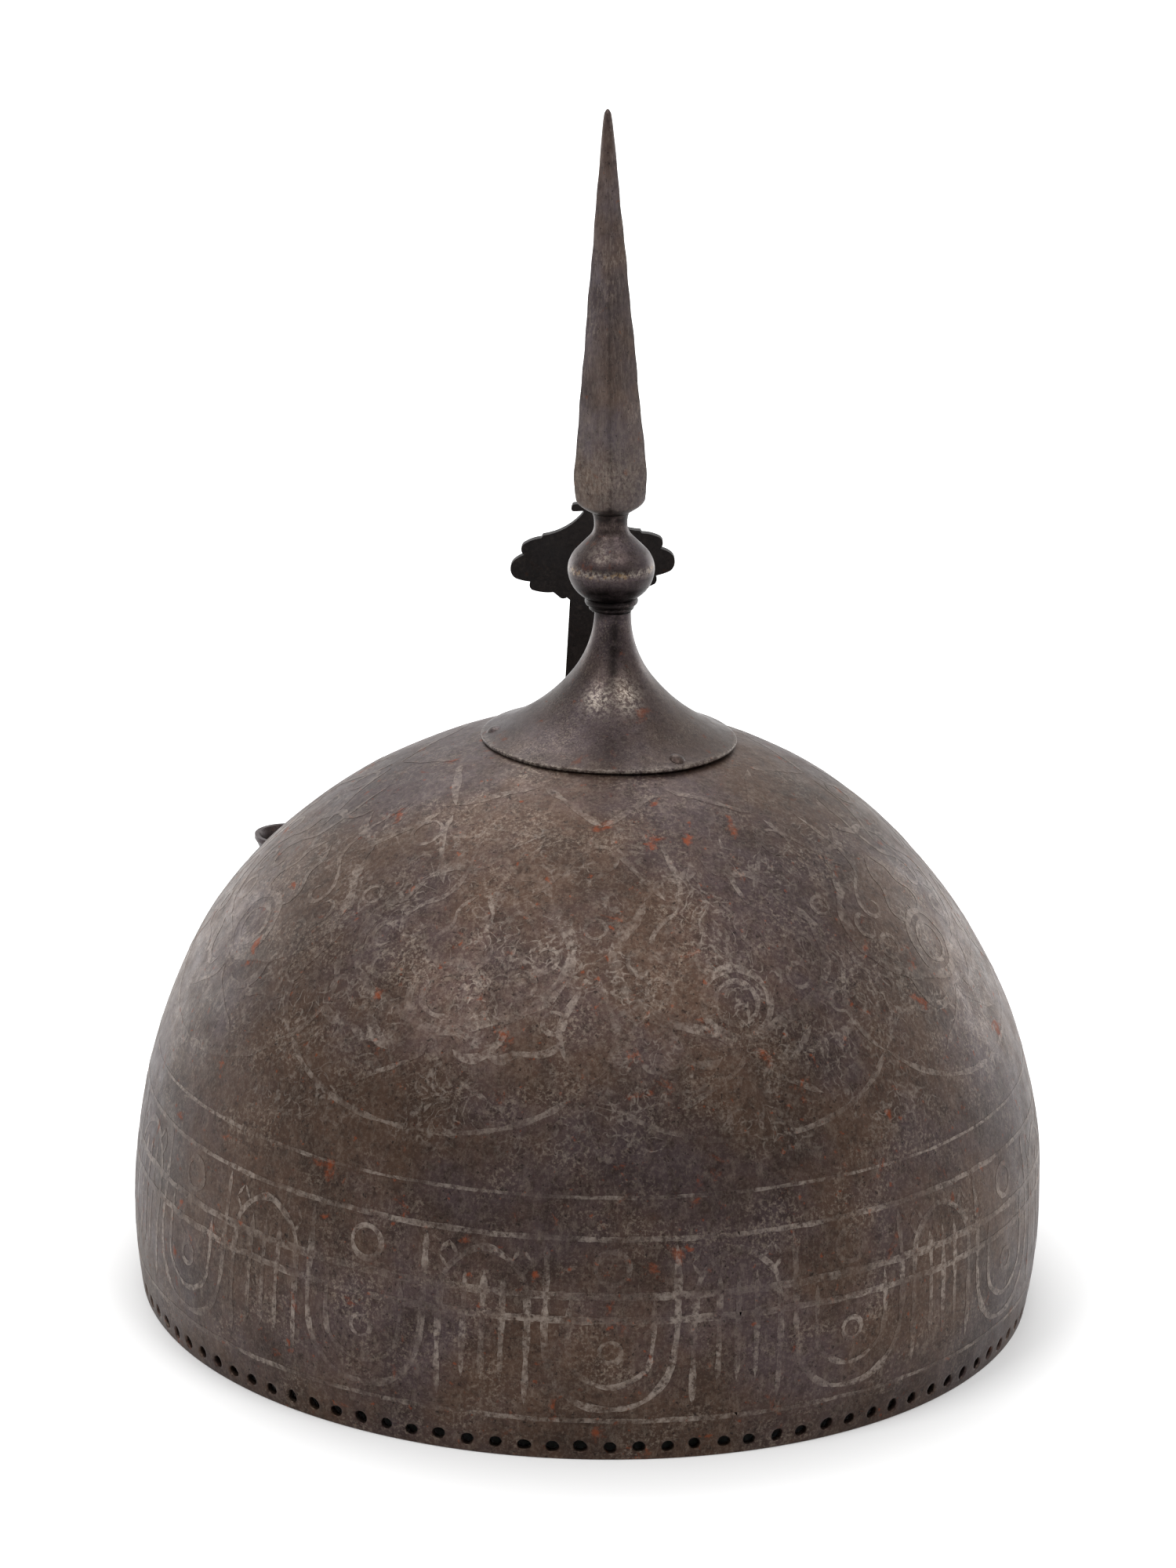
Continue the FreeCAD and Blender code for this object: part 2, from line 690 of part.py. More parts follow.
def square(reach, rise, body, name):
    """A square section of the spike with its corners on the X and Y axes."""
    sketch = sketch_on(body, "XY_Plane", name)
    sketch.AttachmentOffset = FreeCAD.Placement(UP * rise.number, FreeCAD.Rotation())
    bind(sketch, "AttachmentOffset.Base.z", rise)
    draw_outline(sketch, [(reach, ZERO), (ZERO, reach), (-reach, ZERO), (ZERO, -reach)])
    return sketch


def spike():
    body = new_body("spike")
    foot = size["collar_height"] + size["knop_lower_height"] + size["knop_upper_height"] + size["seat_gap"]
    heights = (ZERO, size["heel_rise"], size["spike_shoulder"], size["spike_length"])
    reaches = (size["foot_reach"], size["heel_reach"], size["spike_reach"], size["tip_reach"])
    sections = []
    for i, (rise, reach) in enumerate(zip(heights, reaches)):
        sections.append(square(reach, foot + rise, body, "spike_section_%d" % (i + 1)))
    blade = body.newObject("PartDesign::AdditiveLoft", "blade")
    blade.Profile = sections[0]
    blade.Sections = sections[1:]
    blade.Ruled = True
    peen_top = rove_bottom() - size["seat_gap"]
    turned(body, [
        (ZERO, peen_top - size["peen_height"]),
        (size["peen_radius"], peen_top - size["peen_height"]),
        (size["peen_radius"], peen_top),
        (size["tang_radius"], peen_top),
        (size["tang_radius"], foot),
        (ZERO, foot)], "tang")
    stack_place(body)
    return body


def rove_bottom():
    """Underside of the washer, measured down from the bottom of the collar."""
    return -(size["neck_depth"] + size["stack_gap"] + size["rove_gap"] + size["rove_thickness"])


def rove():
    body = new_body("rove")
    bore = size["tang_radius"] + size["tang_gap"]
    bottom = rove_bottom()
    top = bottom + size["rove_thickness"]
    turned(body, [(bore, bottom), (size["rove_radius"], bottom), (size["rove_radius"], top), (bore, top)])
    stack_place(body)
    return body


named_node(collar(), "finial_collar")
named_node(knop_lower(), "knop_lower_cup")
named_node(knop_upper(), "knop_upper_cup")
named_node(knop_seam(), "knop_brazing")
named_node(spike(), "spike")
named_node(rove(), "tang_washer")


# Nasal bar with a cusped leaf at each end, in its own leaning frame

def nasal_place(body, out=ZERO, turn_to_front=False):
    """Puts a body at the guide's centre on the bar's inner face, moved out by a length."""
    reach = -(widest_radius() + size["bar_stand_off"] + out)
    place(body, (-size["nasal_offset"], reach, size["guide_height"]), SIDEWAYS, size["nasal_lean"])


def leaf_half(centre, way):
    """Corners of a leaf's right half, pointing up (way 1) or down (way -1), closed along its middle."""
    wide = size["leaf_half_width"]
    root = centre - size["leaf_fall"] * way
    half = [(ZERO, root), (size["bar_end_half_width"], root)]
    for across, up, radius, side in LEAF_SHARES:
        part = size["leaf_rise"] if up > 0 else size["leaf_fall"]
        corner = (wide * across, centre + part * (up * way))
        if side:
            corner = corner + (wide * radius, side * way)
        half.append(corner)
    half.append((ZERO, centre + size["leaf_rise"] * way))
    return half


def nasal_bar():
    body = new_body("nasal_bar")
    upper = size["upper_leaf"]
    lower = -size["lower_leaf"]
    end = size["bar_end_half_width"]
    wide = size["bar_half_width"]
    top = upper - size["leaf_fall"]
    bottom = lower + size["leaf_fall"]
    taper = size["bar_taper"]
    padded(body, [
        (end, bottom), (wide, bottom + taper), (wide, top - taper), (end, top),
        (-end, top), (-wide, top - taper), (-wide, bottom + taper), (-end, bottom)],
        "bar", size["bar_thickness"])
    upper_pad = padded(body, leaf_half(upper, 1), "upper_leaf_half", size["bar_thickness"])
    lower_pad = padded(body, leaf_half(lower, -1), "lower_leaf_half", size["bar_thickness"])
    other_half = body.newObject("PartDesign::Mirrored", "leaf_mirror")
    other_half.Originals = [upper_pad, lower_pad]
    other_half.MirrorPlane = (plane_of(body, "YZ_Plane"), [""])
    body.Tip = other_half
    nasal_place(body)
    return body


def guide_body():
    """The guide: a plate that follows the bowl, and a bridge over the bar with a boss for the screw."""
    outline = [(size["guide_half_width"] * a, size["guide_half_height"] * u) if a else
               (ZERO, size["guide_half_height"] * u) for a, u, r, s in GUIDE_SHARES]
    half = []
    for corner, (a, u, r, s) in zip(outline, GUIDE_SHARES):
        half.append(corner + (size["guide_half_width"] * r, s) if s else corner)
    half.append((ZERO, size["guide_half_height"]))
    prism = new_body("guide_prism")
    depth = size["bar_stand_off"] + size["plate_thickness"] * 8
    padded(prism, mirrored(half), "guide_outline", depth * 2, both_ways=True)
    nasal_place(prism)
    plate = boolean("Common", "guide_plate", plate_shell, prism)

    block = new_body("guide_block")
    inside = size["bar_half_width"] + size["bar_gap"]
    outside = inside + size["bridge_wall"]
    front = size["bar_thickness"] + size["bar_gap"] + size["bridge_wall"]
    tall = size["bridge_half_height"]
    padded(block, [(-outside, -tall), (outside, -tall), (outside, tall), (-outside, tall)],
           "bridge_front", front)
    padded(block, [(-outside, -tall), (outside, -tall), (outside, tall), (-outside, tall)],
           "bridge_back", size["plate_thickness"] * 4, backwards=True)
    nasal_place(block)
    seated_block = boolean("Cut", "seated_block", block, dome_seat)

    boss = doc.addObject("Part::Cylinder", "boss")
    bind(boss, "Radius", size["boss_radius"])
    bind(boss, "Height", size["boss_height"] + size["bridge_wall"] * 0.5)
    place_along_screw(boss, front - size["bridge_wall"] * 0.5)

    bridge = doc.addObject("Part::MultiFuse", "bridge")
    bridge.Shapes = [plate, seated_block, boss]

    channel = new_body("guide_channel")
    tunnel = tall + size["guide_half_height"]
    padded(channel, [(-inside, -tunnel), (inside, -tunnel), (inside, tunnel), (-inside, tunnel)],
           "channel_front", size["bar_thickness"] + size["bar_gap"])
    padded(channel, [(-inside, -tunnel), (inside, -tunnel), (inside, tunnel), (-inside, tunnel)],
           "channel_back", size["bar_gap"], backwards=True)
    nasal_place(channel)

    thread = doc.addObject("Part::Cylinder", "screw_hole")
    bind(thread, "Radius", size["screw_radius"] + size["screw_gap"])
    bind(thread, "Height", size["boss_height"] + size["bridge_wall"] + size["overrun"] * 2)
    place_along_screw(thread, front - size["bridge_wall"] - size["overrun"])

    hollow = group("guide_hollow", [channel, thread] + guide_drills)
    return boolean("Cut", "nasal_guide", bridge, hollow)


def place_along_screw(thing, out):
    """Puts a cylinder on the screw's axis, facing the front, starting at out from the bar's inner face."""
    reach = -(widest_radius() + size["bar_stand_off"] + out)
    lean = FreeCAD.Rotation(SIDEWAYS, size["nasal_lean"].number)
    face_front = FreeCAD.Rotation(FreeCAD.Vector(1, 0, 0), 90)
    base = FreeCAD.Vector(-size["nasal_offset"].number, reach.number, size["guide_height"].number)
    thing.Placement = FreeCAD.Placement(base, lean.multiply(face_front))
    bind(thing, "Placement.Base.y", reach)


def guide_spots():
    """Four rivets in the guide's side flanges, on the bowl's surface."""
    lean = math.radians(size["nasal_lean"].number)
    inside = size["bar_half_width"].number + size["bar_gap"].number + size["bridge_wall"].number
    across = (inside + size["guide_half_width"].number) * 0.5
    spots = []
    for x, up in ((-1, -1), (-1, 1), (1, -1), (1, 1)):
        local_x = x * across
        local_z = up * size["guide_rivet_height"].number
        world_x = -size["nasal_offset"].number + local_x * math.cos(lean) + local_z * math.sin(lean)
        rise = size["guide_height"].number - local_x * math.sin(lean) + local_z * math.cos(lean)
        radius = dome_point(rise)[0]
        spots.append(bowl_spot(math.degrees(math.asin(world_x / radius)), rise))
    return spots


def clamp_screw():
    body = new_body("clamp_screw")
    tip = size["bar_thickness"] + size["screw_tip_gap"]
    boss_top = size["bar_thickness"] + size["bar_gap"] + size["bridge_wall"] + size["boss_height"]
    shoulder = boss_top + size["shoulder_gap"]
    top = shoulder + size["shoulder_height"]
    turned(body, [
        (ZERO, tip),
        (size["screw_radius"], tip),
        (size["screw_radius"], shoulder),
        (size["shoulder_radius"], shoulder),
        (size["shoulder_radius"], top),
        (ZERO, top)], "shank")
    sunk = size["shoulder_height"] * 0.5
    half = []
    for across, up, radius, side in BOW_SHARES:
        corner = (size["bow_width"] * (across * 0.5), top - sunk + size["bow_height"] * up)
        half.append(corner + (size["bow_width"] * radius, side) if side else corner)
    half.append((ZERO, top - sunk + size["bow_height"]))
    padded(body, mirrored(half), "bow", size["bow_thickness"], both_ways=True)
    place_along_screw(body, ZERO)
    return body


guide_drills = rivet_set("guide_rivets", guide_spots())
named_node(nasal_bar(), "nasal_bar")
named_node(guide_body(), "nasal_guide")
named_node(clamp_screw(), "clamp_screw")


# Plume holders: a tube with a flared mouth, its backing plate and its rivets, on each side

def plume_reach():
    """The tube's axis, out from the bowl's axis."""
    outer = size["plume_bore"] + size["plume_wall"]
    return widest_radius() + plate_stack + size["seat_gap"] + size["plume_gap"] + outer


def plume_place(thing, turn, out, rise):
    """Puts a body at a turn from the front, out from the bowl's axis, at a height."""
    base = (out * sine(turn), -(out * cosine(turn)), rise)
    place(thing, base, UP, turn)


def plume_tube(side, turn):
    body = new_body("plume_socket_" + side)
    bore = size["plume_bore"]
    outer = bore + size["plume_wall"]
    floor = size["plume_foot"] + size["plume_floor"]
    flare = size["plume_top"] - size["mouth_height"]
    mouth = size["plume_mouth"]
    bud = size["bud_radius"]
    bud_foot = size["plume_foot"] - size["bud_height"]
    curl = lens_radius(size["mouth_height"] * 0.5, (mouth - outer) * 0.6)
    turned(body, [
        (ZERO, bud_foot, bud * 2, -1),
        (bud, bud_foot + bud),
        (bud * 0.6, size["plume_foot"] - bud * 0.3),
        (outer - size["plume_wall"], size["plume_foot"]),
        (outer, size["plume_foot"] + size["plume_wall"]),
        (outer, flare, curl * 2, 1),
        (mouth, size["plume_top"] - size["plume_wall"]),
        (mouth, size["plume_top"]),
        (mouth - size["plume_wall"], size["plume_top"], curl * 2, -1),
        (bore, flare),
        (bore, floor),
        (ZERO, floor)])
    plume_place(body, turn, plume_reach(), ZERO)

    lug = new_body("plume_lug_" + side)
    half = size["lug_half_width"]
    low = size["plate_centre"] - size["lug_height"] * 0.5
    high = size["plate_centre"] + size["lug_height"] * 0.5
    padded(lug, [(-half, low), (half, low), (half, high), (-half, high)], "lug_" + side,
           size["plume_gap"] + size["plume_wall"] * 0.5 + size["plate_thickness"] * 4)
    plume_place(lug, turn, widest_radius() + plate_stack - size["plate_thickness"] * 4, ZERO)
    seated_lug = boolean("Cut", "seated_lug_" + side, lug, plate_seat)
    return boolean("Fuse", "plume_tube_" + side, body, seated_lug)


def plume_plate(side, turn, drills):
    half = []
    for across, up, radius, bulge in PLATE_SHARES:
        x = size["plate_half_width"] * across if across else ZERO
        corner = (x, size["plate_centre"] + size["plate_half_height"] * up)
        half.append(corner + (size["plate_half_width"] * radius, bulge) if bulge else corner)
    half.append((ZERO, size["plate_centre"] + size["plate_half_height"]))
    prism = new_body("plume_prism_" + side)
    padded(prism, mirrored(half), "plume_outline_" + side, widest_radius() + plate_stack + size["overrun"])
    plume_place(prism, turn, ZERO, ZERO)
    blank = boolean("Common", "plume_blank_" + side, plate_shell, prism)
    return boolean("Cut", "plume_plate_" + side, blank, group("plume_holes_" + side, drills))


def plume_spots(turn):
    """Two rivets beside the tube and one below it, on the bowl's surface."""
    centre = size["plate_centre"].number
    wide = size["plate_half_width"].number
    tall = size["plate_half_height"].number
    spots = []
    for across, up in PLUME_RIVET_SHARES:
        rise = centre + tall * up
        radius = dome_point(rise)[0]
        spots.append(bowl_spot(turn.number + math.degrees(math.asin(wide * across / radius)), rise))
    return spots


PLUME_RIVET_SHARES = ((-0.77, 0.0), (0.77, 0.0), (0.0, -0.82))

plume_drills = []
for side_name, side_turn in (("left", size["left_plume_angle"]), ("right", -size["right_plume_angle"])):
    side_drills = rivet_set("plume_rivets_" + side_name, plume_spots(side_turn))
    plume_drills = plume_drills + side_drills
    named_node(plume_tube(side_name, side_turn), "plume_tube_" + side_name)
    named_node(plume_plate(side_name, side_turn, side_drills), "plume_plate_" + side_name)


# The bowl: a raised shell with a row of holes along its rim

def bowl():
    body = new_body("bowl_shell")
    rim, meeting, top = dome_places(ZERO)
    inward = -size["bowl_wall"]
    inner_rim, inner_meeting, inner_top = dome_places(inward)
    turned(body, [
        rim, meeting, top,
        (ZERO, inner_top[1], size["crown_radius"] + inward, 1),
        (inner_meeting[0], inner_meeting[1], size["side_radius"] + inward, 1),
        (inner_rim[0], ZERO)])
    drills = skirt_drills + guide_drills + plume_drills
    pierced = boolean("Cut", "pierced_bowl", body, group("rim_punches", rim_punches()))
    pierced.Refine = False
    drilled = boolean("Cut", "bowl", pierced, group("bowl_drills", drills))
    drilled.Refine = False
    return drilled


def rim_punches():
    """One short punch across the wall for each hole of the rim."""
    punches = []
    reach = dome_places(ZERO)[0][0] - size["bowl_wall"] - size["overrun"]
    for i in range(int(size["rim_hole_count"].number)):
        turn = Length(360.0 * i / size["rim_hole_count"].number, "(360 * %d / Sizes.rim_hole_count)" % i)
        punch = doc.addObject("Part::Cylinder", "rim_punch_%d" % (i + 1))
        bind(punch, "Radius", size["rim_hole_radius"])
        bind(punch, "Height", size["bowl_wall"] + size["overrun"] * 2)
        base = (reach * sine(turn), -(reach * cosine(turn)), size["rim_hole_rise"])
        facing = FreeCAD.Rotation(UP, turn.number).multiply(FreeCAD.Rotation(FreeCAD.Vector(1, 0, 0), 90))
        punch.Placement = FreeCAD.Placement(
            FreeCAD.Vector(base[0].number, base[1].number, base[2].number), facing)
        for letter, length in zip("xyz", base):
            bind(punch, "Placement.Base." + letter, length)
        punches.append(punch)
    return punches


named_node(bowl(), "bowl")

doc.recompute()

# Every object has to be sound before anything is written
for thing in doc.Objects:
    for state in thing.State:
        if state in ("Invalid", "Error"):
            raise ValueError("%s is %s" % (thing.Label, state))
os.makedirs("parts", exist_ok=True)
for node in nodes:
    shape = node.Shape
    if shape.isNull() or not shape.isValid():
        raise ValueError("%s has no sound shape" % node.Label)
    shape.exportStep("parts/%s.step" % node.Label)
    print("%-20s solids %3d  volume %10.1f" % (node.Label, len(shape.Solids), shape.Volume))
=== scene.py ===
import math

import bmesh
import bpy
import numpy as np
from mathutils import Matrix, Vector


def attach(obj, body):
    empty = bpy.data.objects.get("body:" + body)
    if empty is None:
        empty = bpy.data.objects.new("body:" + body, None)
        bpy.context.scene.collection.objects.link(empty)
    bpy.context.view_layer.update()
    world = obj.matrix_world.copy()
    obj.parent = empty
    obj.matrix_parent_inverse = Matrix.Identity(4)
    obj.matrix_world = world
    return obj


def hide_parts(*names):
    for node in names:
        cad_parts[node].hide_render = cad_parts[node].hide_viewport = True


# A raised steel bowl helmet with its spike, nasal bar and plume holders, worked out in millimetres. +Z is up,
# the rim stands on Z = 0 and the nasal bar is on -Y. The photo looks at the back, from +Y.

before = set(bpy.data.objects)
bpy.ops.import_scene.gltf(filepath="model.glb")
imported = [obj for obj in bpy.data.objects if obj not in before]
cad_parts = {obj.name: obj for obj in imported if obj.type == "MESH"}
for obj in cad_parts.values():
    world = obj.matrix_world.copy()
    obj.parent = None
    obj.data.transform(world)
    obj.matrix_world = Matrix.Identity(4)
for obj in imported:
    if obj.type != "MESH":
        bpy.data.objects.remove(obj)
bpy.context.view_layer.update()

MM = 0.001
DEGREE = math.pi / 180
random_marks = np.random.default_rng(1887)


# Meshes

def grid_faces(rows, columns, wrap_rows=False, wrap_columns=False):
    """Quads between neighbouring points of a grid whose points run along each row in turn."""
    r = np.arange(rows if wrap_rows else rows - 1)[:, None]
    c = np.arange(columns if wrap_columns else columns - 1)[None, :]
    after_r = (r + 1) % rows
    after_c = (c + 1) % columns
    corners = [r * columns + c, r * columns + after_c, after_r * columns + after_c, after_r * columns + c]
    return np.stack(np.broadcast_arrays(*corners), axis=-1).reshape(-1, 4)


def mesh_from(name, points, faces):
    """A mesh from an array of points in millimetres and an array of faces with the same number of corners."""
    mesh = bpy.data.meshes.new(name)
    mesh.vertices.add(len(points))
    mesh.vertices.foreach_set("co", (np.asarray(points) * MM).astype(np.float32).ravel())
    corners = faces.shape[1]
    mesh.loops.add(faces.size)
    mesh.loops.foreach_set("vertex_index", faces.astype(np.int32).ravel())
    mesh.polygons.add(len(faces))
    mesh.polygons.foreach_set("loop_start", (np.arange(len(faces)) * corners).astype(np.int32))
    mesh.update(calc_edges=True)
    return mesh


def placed(name, data):
    """An object in the scene for a mesh, a lamp or a camera."""
    made = bpy.data.objects.new(name, data)
    bpy.context.scene.collection.objects.link(made)
    return made


def piece(name, parts, material, body, replaced=(), sharp=40):
    """One object from several grids: welded where they meet, faces turned outwards, shaded smooth."""
    points = np.concatenate([p for p, f in parts])
    starts = np.cumsum([0] + [len(p) for p, f in parts[:-1]])
    faces = np.concatenate([f + start for (p, f), start in zip(parts, starts)])
    mesh = mesh_from(name, points, faces)
    work = bmesh.new()
    work.from_mesh(mesh)
    bmesh.ops.remove_doubles(work, verts=work.verts, dist=0.002 * MM)
    bmesh.ops.dissolve_degenerate(work, edges=work.edges, dist=0.001 * MM)
    bmesh.ops.recalc_face_normals(work, faces=work.faces)
    work.to_mesh(mesh)
    work.free()
    mesh.polygons.foreach_set("use_smooth", np.ones(len(mesh.polygons), dtype=bool))
    mesh.set_sharp_from_angle(angle=math.radians(sharp))
    mesh.materials.append(material)
    made = placed(name, mesh)
    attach(made, body)
    if replaced:
        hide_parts(*replaced)
    return made


def paint(made, name, mask):
    """Stores a mask from 0 to 1 on a mesh, worked out from its points in millimetres."""
    count = len(made.data.vertices)
    points = np.empty(count * 3)
    made.data.vertices.foreach_get("co", points)
    values = np.clip(mask(points.reshape(-1, 3) / MM), 0, 1)
    stored = made.data.attributes.new(name, "FLOAT", "POINT")
    stored.data.foreach_set("value", values.astype(np.float32))


def turned(profile, columns=96, wobble=None):
    """A profile of (radius, height) pairs carried once round the Z axis; ends on the axis close it.

    A point is (radius cos turn, radius sin turn, height). wobble may change radius and height with the turn.
    """
    profile = np.asarray(profile, dtype=float)
    turn = np.linspace(0, 2 * math.pi, columns, endpoint=False)
    radius = profile[:, 0][:, None] * np.ones(columns)
    height = profile[:, 1][:, None] * np.ones(columns)
    if wobble is not None:
        radius, height = wobble(radius, height, turn[None, :])
    points = np.stack([radius * np.cos(turn), radius * np.sin(turn), height], axis=-1)
    closed = not (profile[0, 0] == 0 and profile[-1, 0] == 0)
    return points.reshape(-1, 3), grid_faces(len(profile), columns, wrap_rows=closed, wrap_columns=True)


def arc(centre, radius, start, end, steps):
    """Points of an arc in the plane of a profile, angles in degrees."""
    a = np.radians(np.linspace(start, end, steps))
    return np.stack([centre[0] + radius * np.cos(a), centre[1] + radius * np.sin(a)], axis=-1)


def arc_between(start, end, radius, steps):
    """An arc between two points that bulges to the right of the way from one to the other.

    Its centre is to the left of the chord's middle, by the root of the radius squared less half the chord
    squared. With a negative radius it is to the right, and the arc bulges to the left.
    """
    start = np.asarray(start, dtype=float)
    end = np.asarray(end, dtype=float)
    chord = end - start
    reach = math.sqrt(radius ** 2 - (np.linalg.norm(chord) / 2) ** 2)
    left = np.array([-chord[1], chord[0]]) / np.linalg.norm(chord)
    side = 1 if radius > 0 else -1
    centre = (start + end) / 2 + left * reach * side
    a = math.atan2(*(start - centre)[::-1])
    b = math.atan2(*(end - centre)[::-1])
    sweep = (b - a + math.pi) % (2 * math.pi) - math.pi
    t = a + np.linspace(0, 1, steps) * sweep
    return np.stack([centre[0] + abs(radius) * np.cos(t), centre[1] + abs(radius) * np.sin(t)], axis=-1)


def softened(corners, cut, steps=6):
    """A line through corners in the plane of a profile, each corner cut by a small round.

    The round starts and ends a cut away from its corner and is a quadratic curve that the corner pulls.
    """
    corners = [np.asarray(c, dtype=float) for c in corners]
    out = [corners[0][None, :]]
    t = np.linspace(0, 1, steps)[:, None]
    for before, here, after in zip(corners[:-2], corners[1:-1], corners[2:]):
        back = before - here
        ahead = after - here
        r = min(cut, np.linalg.norm(back) * 0.45, np.linalg.norm(ahead) * 0.45)
        a = here + back / np.linalg.norm(back) * r
        b = here + ahead / np.linalg.norm(ahead) * r
        out.append((1 - t) ** 2 * a + 2 * t * (1 - t) * here + t ** 2 * b)
    out.append(corners[-1][None, :])
    return np.concatenate(out)


def flowing(x, places, values):
    """Values read off a smooth curve through the given places: a cubic with the slopes of its neighbours."""
    places = np.asarray(places, dtype=float)
    values = np.asarray(values, dtype=float)
    slopes = np.gradient(values, places)
    x = np.clip(x, places[0], places[-1])
    i = np.clip(np.searchsorted(places, x) - 1, 0, len(places) - 2)
    step = places[i + 1] - places[i]
    t = (x - places[i]) / step
    return ((2 * t ** 3 - 3 * t ** 2 + 1) * values[i] + (t ** 3 - 2 * t ** 2 + t) * step * slopes[i]
            + (3 * t ** 2 - 2 * t ** 3) * values[i + 1] + (t ** 3 - t ** 2) * step * slopes[i + 1])


def leaning(points, base, lean):
    """Points turned by an angle about the Y axis, the top towards +X, and moved to a base point."""
    a = math.radians(lean)
    turn = np.array([[math.cos(a), 0, math.sin(a)], [0, 1, 0], [-math.sin(a), 0, math.cos(a)]])
    return points @ turn.T + np.asarray(base, dtype=float)


# The bowl's surface

BOWL_HEIGHT = 126.9
CROWN_RADIUS = 98.8
SIDE_RADIUS = 121.2
SIDE_TURN = math.radians(18.8)
WALL = 1.6
CROWN_CENTRE = BOWL_HEIGHT - CROWN_RADIUS
SIDE_ACROSS = -(SIDE_RADIUS - CROWN_RADIUS) * math.cos(SIDE_TURN)
SIDE_UP = CROWN_CENTRE - (SIDE_RADIUS - CROWN_RADIUS) * math.sin(SIDE_TURN)
RIM_TURN = math.asin(-SIDE_UP / SIDE_RADIUS)
SIDE_LENGTH = SIDE_RADIUS * (SIDE_TURN - RIM_TURN)
CROWN_LENGTH = CROWN_RADIUS * (math.pi / 2 - SIDE_TURN)
PROFILE_LENGTH = SIDE_LENGTH + CROWN_LENGTH
WIDEST = SIDE_RADIUS + SIDE_ACROSS

# the hammer's dents, none at the rim or under the foot; one of size 9 is 0.03 to 0.17 mm deep
DENTS = 150
DENT_SIZE = 9
dent_turn = random_marks.uniform(0, 2 * math.pi, DENTS)
dent_along = random_marks.uniform(14, PROFILE_LENGTH - 34, DENTS)
dent_size = random_marks.uniform(4.5, 13, DENTS)
dent_depth = random_marks.uniform(0.03, 0.17, DENTS) * dent_size / DENT_SIZE

# how far the hand-raised bowl leans to and fro on its way up
SWAY_HEIGHTS = (0, 24, 40, 52, 64, 80, 95, 108, 118, 127)
SWAY = (0.1, 0.2, 0.4, 0.1, -0.2, -0.62, -0.2, 0.7, 1.2, 1.3)


def profile_point(along):
    """Radius, height and slope of the bowl's outside at an arc length from the rim: two tangent arcs.

    The slope is the angle of the outward normal above level: the angle at the arc's start plus the length
    since then over the radius. The point is the arc's centre plus a radius along that normal.
    """
    low = along < SIDE_LENGTH
    slope = np.where(low, RIM_TURN + along / SIDE_RADIUS, SIDE_TURN + (along - SIDE_LENGTH) / CROWN_RADIUS)
    radius = np.where(low, SIDE_ACROSS + SIDE_RADIUS * np.cos(slope), CROWN_RADIUS * np.cos(slope))
    height = np.where(low, SIDE_UP + SIDE_RADIUS * np.sin(slope), CROWN_CENTRE + CROWN_RADIUS * np.sin(slope))
    return radius, height, slope


def along_side(height):
    """Arc length from the rim at a height on the bowl's side: the angle at that height times the radius."""
    return (np.arcsin((height - SIDE_UP) / SIDE_RADIUS) - RIM_TURN) * SIDE_RADIUS


def hammering(turn, along):
    """How far the sheet stands in or out: round dents with soft edges and slow waves between them.

    A dent fades with the square of the distance over its size, and a wave is a sine of turn and arc length.
    Both fade out from 28 to 8 mm over the rim, and under the foot.
    """
    radius = profile_point(along)[0]
    depth = np.zeros(np.broadcast(turn, along).shape)
    for t, s, size, deep in zip(dent_turn, dent_along, dent_size, dent_depth):
        across = (np.remainder(turn - t + math.pi, 2 * math.pi) - math.pi) * radius
        depth -= deep * np.exp(-(across ** 2 + (along - s) ** 2) / (size ** 2))
    fade = np.clip((along - 8) / 20, 0, 1) * np.clip((PROFILE_LENGTH - 30 - along) / 20, 0, 1)
    waves = 0.10 * np.sin(3 * turn + 0.05 * along) + 0.08 * np.sin(5 * turn - 0.11 * along + 1)
    waves = waves + 0.05 * np.sin(11 * turn + 0.21 * along + 2)
    return (depth + waves - 0.05) * fade


def on_bowl(turn, along, out=0.0):
    """Points on the bowl's outside: turn from the back towards -X, arc length from the rim, and a rise.

    A point is the profile's point, moved along its normal by the rise and the hammering, turned about the
    axis and shifted sideways by the sway at its height.
    """
    turn, along = np.broadcast_arrays(turn, along)
    radius, height, slope = profile_point(along)
    rise = hammering(turn, along) + out
    radius = radius + rise * np.cos(slope)
    sideways = flowing(height, SWAY_HEIGHTS, SWAY)
    height = height + rise * np.sin(slope)
    return np.stack([-radius * np.sin(turn) - sideways, radius * np.cos(turn), height], axis=-1)


# Materials

BOWL_TONES = {"brown": "#48362c", "violet": "#423637", "dark": "#291e19", "worn": "#8f8174",
              "bare": "#a0948a", "pit": "#17110e", "rust": "#8f4320"}
FINIAL_TONES = {"brown": "#41342e", "violet": "#3f3639", "dark": "#271e1c", "worn": "#85796e",
                "bare": "#a0968b", "pit": "#100b0a", "rust": "#6b3b28"}
SPIKE_TONES = {"brown": "#4a3b33", "violet": "#463e42", "dark": "#2f2624", "worn": "#8a7d72",
               "bare": "#a4998c", "pit": "#150f0d", "rust": "#6b3f28"}
BLACK_TONES = {"brown": "#1e1816", "violet": "#1b1819", "dark": "#120e0d", "worn": "#403833",
               "bare": "#3b342f", "pit": "#0b0807", "rust": "#372216"}
RUBBED_BRASS = "#907552"


def linear(hex_colour):
    """A colour written in sRGB hex, as the linear values that a shader takes."""
    parts = [int(hex_colour[i:i + 2], 16) / 255 for i in (1, 3, 5)]
    return tuple(p / 12.92 if p <= 0.04045 else ((p + 0.055) / 1.055) ** 2.4 for p in parts) + (1.0,)


